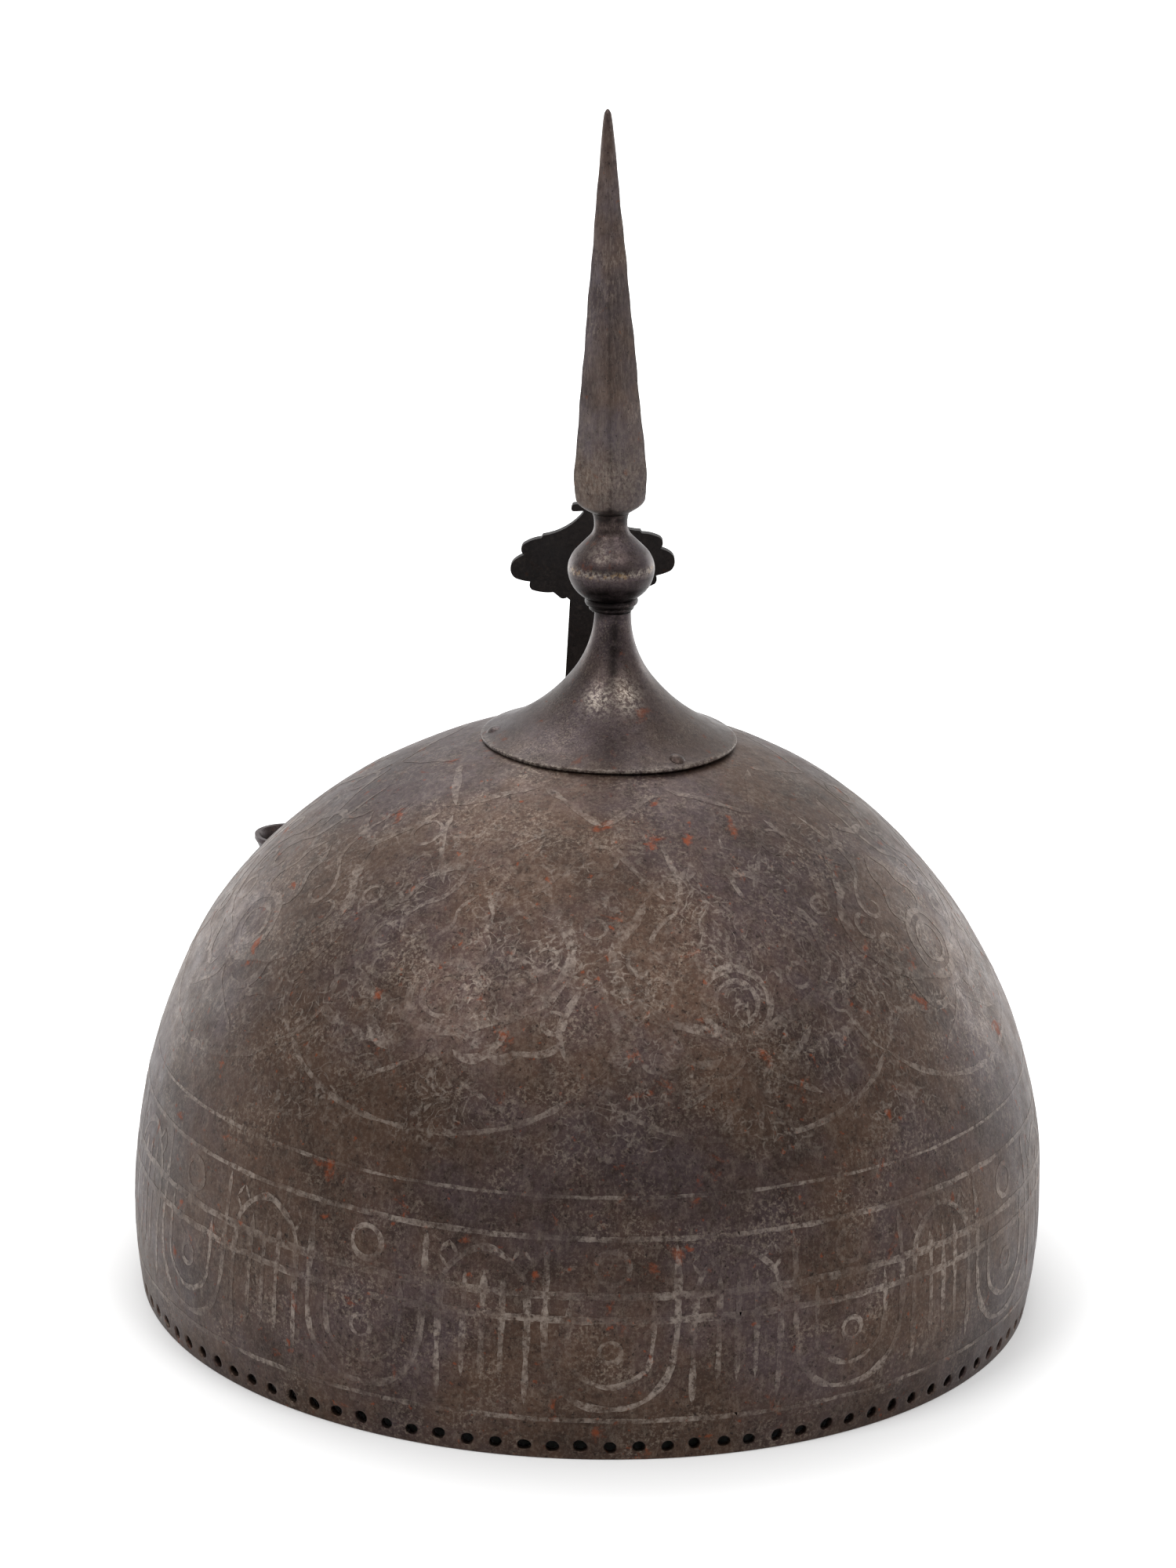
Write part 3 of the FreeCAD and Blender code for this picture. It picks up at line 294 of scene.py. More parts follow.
def add(tree, kind, inputs=None, output=0, **settings):
    """Adds a node and gives back one of its outputs, where it has any.

    An input is a number, a vector, a colour in sRGB hex or the output that feeds it.
    """
    node = tree.nodes.new("ShaderNode" + kind)
    for key, value in settings.items():
        setattr(node, key, value)
    for key, value in (inputs or {}).items():
        if isinstance(value, bpy.types.NodeSocket):
            tree.links.new(value, node.inputs[key])
        else:
            node.inputs[key].default_value = linear(value) if isinstance(value, str) else value
    return node.outputs[output] if len(node.outputs) else None


def blotches(tree, place, size, low, high, detail=5, roughness=0.6, stretch=None, twist=0.0):
    """Soft-edged blotches about a size in millimetres across, where a noise rises from a low to a high value.

    With low above high they are where the noise is small. stretch below 1 along an axis draws them out along
    it, and twist bends them.
    """
    if stretch:
        place = add(tree, "Mapping", {"Vector": place, "Scale": stretch})
    noise = add(tree, "TexNoise", {"Vector": place, "Scale": 1 / (size * MM), "Detail": detail,
                                   "Roughness": roughness, "Distortion": twist})
    return add(tree, "MapRange", {"Value": noise, "From Min": low, "From Max": high},
               interpolation_type="SMOOTHSTEP")


def coat(tree, under, over, *shares):
    """One colour laid over another as far as the product of the shares: under + (over - under) * product.

    The mixing node's inputs 0, 6 and 7 are its factor and its two colours, and its output 2 is a colour.
    """
    shown = shares[0]
    for share in shares[1:]:
        shown = add(tree, "Math", {0: shown, 1: share}, operation="MULTIPLY")
    return add(tree, "Mix", {0: shown, 6: under, 7: over}, 2, data_type="RGBA")


def new_material(name, metallic):
    """A material with its tree, the piece's Object coordinates and the shader that its surface shows."""
    material = bpy.data.materials.new(name)
    material.use_nodes = True
    tree = material.node_tree
    tree.nodes.clear()
    place = add(tree, "TexCoord", output="Object")
    shader = add(tree, "BsdfPrincipled", {"Metallic": metallic, "Specular IOR Level": 0.3}).node
    add(tree, "OutputMaterial", {"Surface": shader.outputs[0]})
    return material, tree, place, shader


def patina(tree, place, tones, fine=1.0, wear=1.0, drawn=1.0):
    """Colour of old steel under its brown skin, with its pits and its rust.

    Clouds some 45 and 16 mm wide drift between a brown, a violet grey and a dark scale. A grain of bare grey
    about 1 mm across shows where the skin has worn, most on a few patches. Rust blooms in specks of 2 to
    6 mm. Dirt, painted shade and painted dark reflections show where paint() has stored grime_and_shade, and
    bare metal and painted highlights where it has stored rubbed_and_highlight. fine scales the grain and wear
    how much of it shows; drawn below 1 draws the grain out upwards.
    """
    clouds = blotches(tree, place, 45, 0.40, 0.60)
    mottle = blotches(tree, place, 16, 0.43, 0.66, 6, 0.66)
    spots = blotches(tree, place, 2.4 * fine, 0.48, 0.66, 5, 0.7)
    skin = coat(tree, tones["brown"], tones["violet"], clouds)
    skin = coat(tree, skin, tones["dark"], mottle, 0.62)
    skin = coat(tree, skin, tones["dark"], spots, 0.6)

    patches = blotches(tree, place, 14, 0.47, 0.66, 5, 0.62, stretch=(1, 1, 1.3))
    grain = blotches(tree, place, 0.8 * fine, 0.47, 0.62, 5, 0.75, stretch=(1, 1, drawn))
    flecks = blotches(tree, place, 2.0 * fine, 0.50, 0.66, 7, 0.85, stretch=(1, 1, 0.5 * drawn))
    bareness = add(tree, "Math", {0: patches, 1: 0.30 * wear, 2: 0.15 * wear}, operation="MULTIPLY_ADD")
    grain = add(tree, "Math", {0: grain, 1: bareness}, operation="MULTIPLY")
    flecks = add(tree, "Math", {0: flecks, 1: 0.27 * wear}, operation="MULTIPLY")
    skin = coat(tree, skin, tones["worn"], add(tree, "Math", {0: grain, 1: flecks}, operation="MAXIMUM"))

    pits = blotches(tree, place, 0.9 * fine, 0.39, 0.31, 3)
    skin = coat(tree, skin, tones["pit"], pits, 0.7)
    bloom = blotches(tree, place, 8, 0.61, 0.72, 7, 0.68, twist=0.4)
    specks = blotches(tree, place, 2.1, 0.65, 0.71)
    specks = add(tree, "Math", {0: specks, 1: 0.7}, operation="MULTIPLY")
    rust = add(tree, "Math", {0: bloom, 1: specks}, operation="MAXIMUM")
    rust = add(tree, "Math", {0: rust, 1: 0.6}, operation="MULTIPLY")
    skin = coat(tree, skin, tones["rust"], rust)

    # grime_and_shade: dirt and scale, and on the finial painted shade and a painted dark reflection
    grime_and_shade = add(tree, "Attribute", output="Fac", attribute_name="grime_and_shade")
    skin = coat(tree, skin, tones["pit"], grime_and_shade, blotches(tree, place, 2.5, 0.3, 0.55, 4, 0.7))
    # rubbed_and_highlight: bare worn metal, and on the foot painted highlights too
    rubbed_and_highlight = add(tree, "Attribute", output="Fac", attribute_name="rubbed_and_highlight")
    skin = coat(tree, skin, tones["bare"], rubbed_and_highlight, blotches(tree, place, 0.9, 0.44, 0.60, 5, 0.8))
    return skin, pits, rust


def surface_relief(tree, place, pits, shader, strength, depth):
    """Fine pitting and scour as bump, with depth in millimetres: 0.7 mm grain, 4.5 mm swells and pits."""
    grain = add(tree, "TexNoise", {"Vector": place, "Scale": 1 / (0.7 * MM), "Detail": 6, "Roughness": 0.75})
    swells = add(tree, "TexNoise", {"Vector": place, "Scale": 1 / (4.5 * MM), "Detail": 4, "Roughness": 0.6})
    height = add(tree, "Math", {0: swells, 1: 0.35}, operation="MULTIPLY")
    height = add(tree, "Math", {0: grain, 1: 0.4, 2: height}, operation="MULTIPLY_ADD")
    sunk = add(tree, "Math", {0: pits, 1: 0.4}, operation="MULTIPLY")
    height = add(tree, "Math", {0: height, 1: sunk}, operation="SUBTRACT")
    bump = add(tree, "Bump", {"Height": height, "Strength": strength, "Distance": depth * MM})
    tree.links.new(bump, shader.inputs["Normal"])


def worn_scrolls(tree, place):
    """Remains of fine scroll work between the rim band and the finial, as shares whose product shows.

    The thin curly lines are where a soft noise is within 0.04 of its middle value. Two more noises keep them
    in patches and break them up. They start 58 to 66 mm above the rim and end at 112 to 122 mm.
    """
    height = add(tree, "SeparateXYZ", {"Vector": place}, "Z")
    over_band = add(tree, "MapRange", {"Value": height, "From Min": 58 * MM, "From Max": 66 * MM},
                    interpolation_type="SMOOTHSTEP")
    under_foot = add(tree, "MapRange", {"Value": height, "From Min": 122 * MM, "From Max": 112 * MM},
                     interpolation_type="SMOOTHSTEP")
    curls = []
    for size, twist in ((6.5, 1.6), (4.2, 0.9)):
        noise = add(tree, "TexNoise", {"Vector": place, "Scale": 1 / (size * MM), "Detail": 1,
                                       "Roughness": 0.4, "Distortion": twist})
        off = add(tree, "Math", {0: noise, 1: 0.5}, operation="SUBTRACT")
        off = add(tree, "Math", {0: off}, operation="ABSOLUTE")
        curls.append(add(tree, "MapRange", {"Value": off, "From Min": 0.040, "From Max": 0.010},
                         interpolation_type="SMOOTHSTEP"))
    lines = add(tree, "Math", {0: curls[0], 1: curls[1]}, operation="MAXIMUM")
    kept = blotches(tree, place, 15, 0.42, 0.62, 4)
    broken = blotches(tree, place, 1.2, 0.42, 0.58, 5, 0.75)
    return lines, over_band, under_foot, kept, 0.32, broken


def old_steel(name, tones, metallic, gloss, relief=0.45, depth=0.17, scrolls=False, line=0.0, **grain):
    """Wrought steel, hammered and long handled: a thin oxide skin over soft, broken metal gloss.

    gloss is the lowest and the highest roughness, in blotches of 6 mm; rust is rougher. line is how strongly
    a graver's cut shows bare metal, and 0 is plain steel. grain goes on to patina().
    """
    material, tree, place, shader = new_material(name, metallic)
    colour, pits, rust = patina(tree, place, tones, **grain)
    if scrolls:
        colour = coat(tree, colour, tones["bare"], *worn_scrolls(tree, place))
    if line:
        kept = blotches(tree, place, 12, 0.43, 0.62, 4)
        kept = add(tree, "Math", {0: kept, 1: line, 2: line * 0.22}, operation="MULTIPLY_ADD")
        broken = blotches(tree, place, 1.3, 0.36, 0.62, 5, 0.75)
        colour = coat(tree, colour, tones["bare"], kept, broken)
    tree.links.new(colour, shader.inputs["Base Color"])
    noise = add(tree, "TexNoise", {"Vector": place, "Scale": 1 / (6 * MM), "Detail": 5, "Roughness": 0.7})
    rough = add(tree, "MapRange", {"Value": noise, "From Min": 0.3, "From Max": 0.7,
                                   "To Min": gloss[0], "To Max": gloss[1]})
    rough = add(tree, "Math", {0: rust, 1: 0.3, 2: rough}, operation="MULTIPLY_ADD")
    tree.links.new(rough, shader.inputs["Roughness"])
    surface_relief(tree, place, pits, shader, relief, depth)
    return material


def brazing_material():
    """Brass run into a joint with a torch and wiped over the steel: dull brown with rubbed yellow specks."""
    material, tree, place, shader = new_material("tarnished_brazing_brass", 0.85)
    colour, pits = patina(tree, place, FINIAL_TONES, fine=0.6, wear=0.6)[:2]
    specks = blotches(tree, place, 1.3, 0.50, 0.62, 5, 0.75)
    patches = blotches(tree, place, 4.5, 0.36, 0.56, 3)
    rubbed_and_highlight = add(tree, "Attribute", output="Fac", attribute_name="rubbed_and_highlight")
    colour = coat(tree, colour, RUBBED_BRASS, specks, patches, rubbed_and_highlight)
    tree.links.new(colour, shader.inputs["Base Color"])
    shader.inputs["Roughness"].default_value = 0.38
    surface_relief(tree, place, pits, shader, strength=0.22, depth=0.1)
    return material


SHEET_FINISH = {"tones": BOWL_TONES, "metallic": 0.75, "gloss": (0.38, 0.58), "scrolls": True}

# raised sheet steel under an old skin of oil and oxide: brown, softly shining, grey where it has worn through
bowl_steel = old_steel("brown_patinated_sheet_steel", **SHEET_FINISH)
# the same sheet where a graver has cut it: a pale, broken line of barer metal
etched_line = old_steel("etched_line_in_sheet_steel", line=0.46, **SHEET_FINISH)
# cuts that are rubbed nearly flat: the line is only a little paler than the sheet
faint_line = old_steel("worn_etched_line_in_sheet_steel", line=0.31, **SHEET_FINISH)
# steel turned on a lathe: darker and glossier than the sheet, with a finer grain
finial_steel = old_steel("dark_turned_steel", FINIAL_TONES, 0.8, (0.32, 0.52), relief=0.28,
                         fine=0.55, wear=0.85)
# forged and filed steel: its grain runs up the blade
spike_steel = old_steel("forged_spike_steel", SPIKE_TONES, 0.75, (0.36, 0.55), relief=0.3,
                        fine=0.75, wear=0.85, drawn=0.35)
# wrought iron blackened in the fire: nearly black, with little shine
black_iron = old_steel("blackened_wrought_iron", BLACK_TONES, 0.3, (0.5, 0.65), relief=0.3)
brazing_brass = brazing_material()


# Bowl

HOLES = 106
HOLE_RISE = 3.0
HOLE_RADIUS = 1.3
HOLE_WEAR = 0.22
BAND_LOW = 0.45
BAND_HIGH = 6.2
RINGS = 4
SIDE_POINTS = 5
COLUMNS = HOLES * SIDE_POINTS
CELL_POINTS = 4 * SIDE_POINTS

hole_shift = random_marks.uniform(-0.22, 0.22, (HOLES, 2))
hole_size = random_marks.uniform(0.90, 1.08, (HOLES, 2)) * HOLE_RADIUS
hole_skew = random_marks.uniform(0, math.pi, HOLES)


def cell_outline():
    """Points round a square from -1 to 1, the same number on each side, from its lower left corner."""
    step = np.linspace(-1, 1, SIDE_POINTS, endpoint=False)
    one = np.ones(SIDE_POINTS)
    return np.concatenate([np.stack([step, -one], -1), np.stack([one, step], -1),
                           np.stack([-step, one], -1), np.stack([-one, -step], -1)])


def hole_outline(extra):
    """Outline of every hole: offsets across from its cell's middle, and heights.

    It is a shifted ellipse whose radius goes up and down by 7 per cent twice round it and by 3 per cent three
    times. extra widens it.
    """
    a = -0.75 * math.pi + np.arange(CELL_POINTS) * 2 * math.pi / CELL_POINTS
    wide = hole_size[:, 0][:, None] + extra
    tall = hole_size[:, 1][:, None] + extra
    skew = hole_skew[:, None]
    uneven = 1 + 0.07 * np.cos(2 * (a[None, :] - skew)) + 0.03 * np.cos(3 * a[None, :] + skew * 5)
    across = wide * np.cos(a) * uneven + hole_shift[:, 0][:, None]
    up = tall * np.sin(a) * uneven + hole_shift[:, 1][:, None]
    return across, HOLE_RISE + up


def rim_cells(extra):
    """Turn and height of the points round the holes: rings that go from each cell's square to its hole."""
    square = cell_outline()
    pitch = 2 * math.pi / HOLES
    middle = np.arange(HOLES) * pitch
    across, height = hole_outline(extra)
    edge_turn = middle[:, None] + square[:, 0][None, :] * pitch / 2
    edge_height = (BAND_LOW + BAND_HIGH) / 2 + square[:, 1][None, :] * (BAND_HIGH - BAND_LOW) / 2
    hole_turn = middle[:, None] + across / WIDEST
    t = (np.linspace(0, 1, RINGS) ** 0.8)[None, :, None]
    turn = edge_turn[:, None, :] * (1 - t) + hole_turn[:, None, :] * t
    rise = edge_height[:, None, :] * (1 - t) + height[:, None, :] * t
    return turn, rise


def cell_faces(rings):
    """Quads of one cell's rings, repeated for every hole."""
    one = grid_faces(rings, CELL_POINTS, wrap_columns=True)
    starts = np.arange(HOLES) * rings * CELL_POINTS
    return (one[None, :, :] + starts[:, None, None]).reshape(-1, 4)


def bowl_parts():
    """The bowl's skin: outside and inside grids, a cell round each rim hole, hole walls and a rounded rim.

    The grids are on_bowl() over turn and arc length. They stop 0.4 mm short of the crown's middle, where a
    cap closes them.
    """
    parts = []
    column_turn = (np.arange(COLUMNS) / SIDE_POINTS - 0.5) * 2 * math.pi / HOLES
    top = PROFILE_LENGTH - 0.4
    rows = np.concatenate([np.linspace(along_side(BAND_HIGH), SIDE_LENGTH, 22)[:-1],
                           np.linspace(SIDE_LENGTH, top, 62)])
    for out, lengths in ((0.0, rows), (-WALL, rows[::2])):
        skin = on_bowl(column_turn[None, :], lengths[:, None], out)
        parts.append((skin.reshape(-1, 3), grid_faces(len(lengths), COLUMNS, wrap_columns=True)))
        cap = on_bowl(column_turn[None, :], np.array([[top]]), out)
        pole = np.broadcast_to(cap.mean(axis=1, keepdims=True), cap.shape)
        parts.append((np.concatenate([cap, pole]).reshape(-1, 3), grid_faces(2, COLUMNS, wrap_columns=True)))

    turn, rise = rim_cells(HOLE_WEAR)
    for out in (0.0, -WALL):
        cells = on_bowl(turn, along_side(rise), out)
        parts.append((cells.reshape(-1, 3), cell_faces(RINGS)))
    # the holes' walls: where they are from the outside inwards, and how much wear has widened the hole there
    walls = []
    for out, extra in ((0.0, HOLE_WEAR), (-0.18, 0.03), (-0.4, 0.0), (-WALL + 0.2, 0.0), (-WALL, HOLE_WEAR)):
        turn, rise = rim_cells(extra)
        walls.append(on_bowl(turn[:, -1, :], along_side(rise[:, -1, :]), out))
    walls = np.stack(walls, axis=1)
    parts.append((walls.reshape(-1, 3), cell_faces(walls.shape[1])))

    # the rim goes from the outside edge down to 0.02 mm and up to the inside edge, as a flattened half round
    low = along_side(np.array([[BAND_LOW]]))
    edge_out = on_bowl(column_turn[None, :], low, 0.0)
    edge_in = on_bowl(column_turn[None, :], low, -WALL)
    t = np.linspace(0, math.pi, 9)[:, None, None]
    middle = (edge_out + edge_in) / 2
    half = (edge_out - edge_in) / 2
    rounded = middle + half * np.sign(np.cos(t)) * np.abs(np.cos(t)) ** 0.45
    rounded[..., 2] = edge_out[..., 2] * (1 - np.sin(t[..., 0]) ** 0.6) + 0.02 * np.sin(t[..., 0])
    rounded[0] = edge_out[0]
    rounded[-1] = edge_in[0]
    parts.append((rounded.reshape(-1, 3), grid_faces(len(rounded), COLUMNS, wrap_columns=True)))
    return parts


piece("bowl_sheet", bowl_parts(), bowl_steel, "helmet", ["bowl"], sharp=50)


# Engraved lines on the bowl

def flowing_path(points, closed, spacing=1.1):
    """A curve through control points, a cubic through each four neighbours, with even steps."""
    p = np.asarray(points, dtype=float)
    radius = profile_point(p[:, 1].mean())[0]
    p = p * (radius * DEGREE, 1.0)
    if closed:
        p = np.concatenate([p[-1:], p, p[:2]])
    else:
        p = np.concatenate([2 * p[:1] - p[1:2], p, 2 * p[-1:] - p[-2:-1]])
    t = np.linspace(0, 1, 14, endpoint=False)[None, :, None]
    a, b, c, d = (q[:, None, :] for q in (p[:-3], p[1:-2], p[2:-1], p[3:]))
    curve = 0.5 * (2 * b + (c - a) * t + (2 * a - 5 * b + 4 * c - d) * t ** 2
                   + (3 * b - a - 3 * c + d) * t ** 3)
    curve = np.concatenate([curve.reshape(-1, 2), p[-2:-1]])
    steps = np.concatenate([[0], np.cumsum(np.linalg.norm(np.diff(curve, axis=0), axis=1))])
    even = np.linspace(0, steps[-1], max(int(steps[-1] / spacing), 5) + 1)
    if closed:
        even = even[:-1]
    across = np.interp(even, steps, curve[:, 0]) / radius
    return np.stack([across, np.interp(even, steps, curve[:, 1])], axis=-1)


def engraved(points, centre, flip=1, closed=False, width=1.3):
    """A line cut by a graver, as a strip that lies on the sheet: its width swells and ebbs, its ends taper.

    A cross-section has four corners: two on the sheet's outside, half a width to either side of the path and
    raised a few hundredths of a millimetre, and two just under them. At an open end each pair is one point.
    """
    points = np.asarray(points, dtype=float) * (flip, 1) + (centre, 0)
    path = flowing_path(points, closed)
    if closed:
        ahead = np.roll(path, -1, axis=0) - np.roll(path, 1, axis=0)
    else:
        ahead = np.gradient(path, axis=0)
    radius = profile_point(path[:, 1])[0]
    ahead = ahead * np.stack([radius, np.ones_like(radius)], axis=-1)
    ahead = ahead / np.linalg.norm(ahead, axis=1, keepdims=True)
    n = np.arange(len(path))
    seed = random_marks.uniform(0, 6, 3)
    swell = 1 + 0.2 * np.sin(n * 0.37 + seed[0]) + 0.16 * np.sin(n * 0.9 + seed[1])
    swell = swell + random_marks.normal(0, 0.09, len(path))
    if not closed:
        swell = swell * np.clip(np.minimum(n, len(path) - 1 - n) / 2.2, 0, 1)
    half = 0.5 * width * swell[:, None]
    out = 0.022 + 0.004 * random_marks.integers(0, 6)
    side = np.array([-1, -1, 1, 1])[None, :] * half
    turn = path[:, :1] - ahead[:, 1:] * side / radius[:, None]
    along = path[:, 1:] + ahead[:, :1] * side
    lift = np.broadcast_to(np.array([-0.05, out, out, -0.05]), turn.shape)
    return on_bowl(turn, along, lift).reshape(-1, 3), grid_faces(len(path), 4, closed, True)


def ring(turn, along, radius):
    """Control points of a circle on the bowl round a place in degrees and millimetres, with a radius."""
    reach = profile_point(np.array(along, dtype=float))[0]
    a = np.linspace(0, 2 * math.pi, 12, endpoint=False)
    return np.stack([turn + radius * np.cos(a) / (reach * DEGREE), along + radius * np.sin(a)], axis=-1)


def medallion_lines():
    """Eight cusped medallions round the bowl, with roundels, scrolls and the pendants between them.

    Each list is drawn on both sides of the medallion's middle, in degrees of turn from it and millimetres of
    arc length from the rim. A circle has its turn, arc length, radius and line width.
    """
    lobe = [(13.4, 118.5), (15.0, 114.6), (15.4, 113.4), (17.0, 112), (18.5, 109), (18.9, 105.5),
            (18.7, 102.5), (17.8, 99.6), (16.0, 96.0), (13.6, 93.4), (10.6, 91.2), (7.6, 90), (4.6, 88.6),
            (2.2, 87.2), (0.4, 85.7)]
    crown = [(0.3, 128.5), (2.6, 125.6), (5.6, 123.6), (9.2, 123.4), (11.8, 121.4), (13.6, 118.6)]
    curl = [(11, 90.2), (10.4, 88.2), (9.9, 85.9), (8.8, 83.9), (6.8, 82.2), (4.7, 82.3), (3.5, 83.6)]
    scroll = [(8, 83.9), (10.2, 82.4), (12.5, 84), (16.6, 84.6), (19.4, 87.6)]
    teardrop = [(22.2, 101.6), (19.8, 95.2), (18.3, 90.0), (19.0, 85.2), (20.6, 81.2), (22.4, 78.4)]
    arch = [(22.4, 78.6), (19.4, 74.6), (15.6, 71.2), (11.1, 68.6), (6.0, 67.0), (0.0, 66.4)]
    swag = [(10.2, 73.4), (7.7, 75.5), (4.7, 77.8), (2.3, 80), (0.9, 81.8), (0.2, 84)]
    scallop = [(22.5, 138.6), (19.6, 140.4), (15.8, 142.8), (11.4, 145.4), (6.6, 147.6), (1.0, 149.6)]
    petal = [(9.3, 118.6), (12.2, 122.8), (15.8, 127.6), (18.4, 131.5), (20.4, 136.0)]
    tendril = [(8.2, 134.6), (7.0, 128.9), (5.8, 122.5), (7.1, 116.4), (10.4, 113.4), (12.6, 109.6),
               (11.8, 105.8), (9.4, 105.4), (8.4, 107.6), (9.6, 109.2)]
    inner = [(1.0, 117.5), (3.4, 113.6), (3.2, 109.8), (5.2, 105.8), (4.6, 102.2), (1.6, 101.2), (0.5, 103.6)]
    leaf = [(12.8, 103.4), (14.6, 101.6), (16.6, 103.4), (16.4, 106.2), (14.6, 107.2), (13.4, 105.6)]
    sides = ((lobe, 2.3), (crown, 1.9), (curl, 1.8), (scroll, 1.6), (teardrop, 1.2), (arch, 1.1), (swag, 1.1),
             (scallop, 1.6), (petal, 1.3), (tendril, 1.0), (inner, 1.0), (leaf, 1.0))
    circles = ((0.0, 94.5, 7.4, 1.6), (0.0, 94.5, 4.6, 1.1), (11.8, 98.2, 2.7, 1.0), (-11.8, 98.2, 2.7, 1.0),
               (17.4, 91.0, 2.3, 0.9), (-17.4, 91.0, 2.3, 0.9), (22.5, 129.6, 3.4, 0.9),
               (22.5, 112.0, 2.2, 0.8))
    parts = []
    for k in range(8):
        centre = 22.5 + 45 * k
        for points, width in sides:
            for flip in (1, -1):
                parts.append(engraved(points, centre, flip, width=width))
        for turn, along, radius, width in circles:
            parts.append(engraved(ring(turn, along, radius), centre, closed=True, width=width))
    return parts


def band_lines():
    """The band over the rim: borders, two level straps, and a row of round arches woven with them.

    Plain strapwork, the same twelve times round: a hanging arch with a smaller one inside it, a standing arch
    over three equal posts, rings and lozenges. Turns are in degrees, and heights are arc lengths in mm.
    """
    parts = []
    around = np.linspace(0, 360, 60, endpoint=False)
    for height, width in ((48.0, 0.85), (56.3, 0.5), (36.4, 1.3), (31.3, 1.2), (9.2, 0.8)):
        waved = height + 0.2 * np.sin(around * DEGREE * 5 + height)
        parts.append(engraved(np.stack([around, waved], -1), 0, closed=True, width=width))
    hanging = [(-7.7, 47.0), (-7.7, 36), (-7.6, 26), (-6.6, 18.6), (-3.8, 13.4), (0, 11.9), (3.8, 13.4),
               (6.6, 18.6), (7.6, 26), (7.7, 36), (7.7, 47.0)]
    nested = [(-4.9, 35.6), (-4.9, 26), (-4.0, 20.2), (0, 16.8), (4.0, 20.2), (4.9, 26), (4.9, 35.6)]
    standing = [(-5.2, 12.4), (-5.3, 22), (-5.2, 34), (-4.2, 40.6), (0, 45.0), (4.2, 40.6), (5.2, 34),
                (5.3, 22), (5.2, 12.4)]
    for k in range(12):
        centre = 3.0 + 30 * k
        parts.append(engraved(hanging, centre, width=1.35))
        parts.append(engraved(nested, centre, width=1.1))
        parts.append(engraved(standing, centre + 15, width=1.3))
        for shift in (-2.3, 0.0, 2.3):
            parts.append(engraved([(shift, 17), (shift, 29), (shift, 40.5)], centre + 15, width=1.2))
        parts.append(engraved(ring(0, 42.0, 3.4), centre, closed=True, width=1.1))
        parts.append(engraved(ring(0, 24.4, 2.3), centre, closed=True, width=1.0))
        for shift in (-10.6, 10.6):
            corners = [(shift - 1.2, 42.6), (shift, 45.6), (shift + 1.2, 42.6), (shift, 39.6)]
            for a, b in zip(corners, corners[1:] + corners[:1]):
                halfway = ((a[0] + b[0]) / 2, (a[1] + b[1]) / 2)
                parts.append(engraved([a, halfway, b], centre, width=0.9))
    return parts


piece("medallion_lines", medallion_lines(), faint_line, "helmet", sharp=30)
piece("band_lines", band_lines(), etched_line, "helmet", sharp=30)


# Finial

# the foot: a hollow neck round over a flatter skirt round, whose lip stands 1.2 mm over the crown's sphere
BASE_AXIS = -2.25
NECK_RADIUS = 3.9
NECK_FLARE = 23.0
SKIRT_FLARE = 42.0
FLARE_TURN = 39.0
SKIRT_RADIUS = 27.4
LIP_LIFT = 1.2
BASE_WALL = 1.0
BORE_RADIUS = 2.6
NECK_DEPTH = 13.0
FLARE_ACROSS = NECK_RADIUS + NECK_FLARE + (SKIRT_FLARE - NECK_FLARE) * math.cos(math.radians(FLARE_TURN))
LIP_RISE = LIP_LIFT - CROWN_RADIUS + math.sqrt(CROWN_RADIUS ** 2 - SKIRT_RADIUS ** 2)
FLARE_RISE = LIP_RISE + math.sqrt(SKIRT_FLARE ** 2 - (FLARE_ACROSS - SKIRT_RADIUS) ** 2)
NECK_TOP = BOWL_HEIGHT + FLARE_RISE - (SKIRT_FLARE - NECK_FLARE) * math.sin(math.radians(FLARE_TURN))

# the stack of collar, cups and blade, which leans as one; its heights start at STACK_FOOT
STACK_LEAN = 2.0
STACK_OFFSET = 0.3
STACK_GAP = 0.25
STACK_FOOT = (BASE_AXIS + STACK_OFFSET, 0, NECK_TOP + STACK_GAP)
PIECE_GAP = 0.05
COLLAR_HEIGHT = 2.7
KNOP_RADIUS = 9.25
KNOP_WALL = 0.9
KNOP_FOOT_RADIUS = 5.4
LOWER_HEIGHT = 6.2
LOWER_ROUND = 7.05
UPPER_HEIGHT = 12.3
UPPER_ROUND = 6.3
SHOULDER_TURN = 45
KNOP_NECK_RADIUS = 3.55
KNOP_NECK_ROUND = 3.6
SEAM = COLLAR_HEIGHT + LOWER_HEIGHT
KNOP_TOP = SEAM + UPPER_HEIGHT
BLADE_HEIGHT = 85.35
TANG_HOLE = 2.1
TANG_RADIUS = 2.0
WASHER_GAP = 0.2
WASHER_THICKNESS = 1.0
PEEN_RADIUS = 3.0
PEEN_HEIGHT = 1.0

# places rubbed bare by a hand on the flare, also painted highlights, and on the knop's shoulder: centre, half
# width and half height
FLARE_RUBS_AND_HIGHLIGHTS = (((0.4, 10.9, 134.9), 3.2, 3.4), ((-5.6, 10.0, 135.4), 3.0, 4.6))
SHOULDER_MARK = ((0.2, 6.0, NECK_TOP + 13.5), 2.6, 2.2)


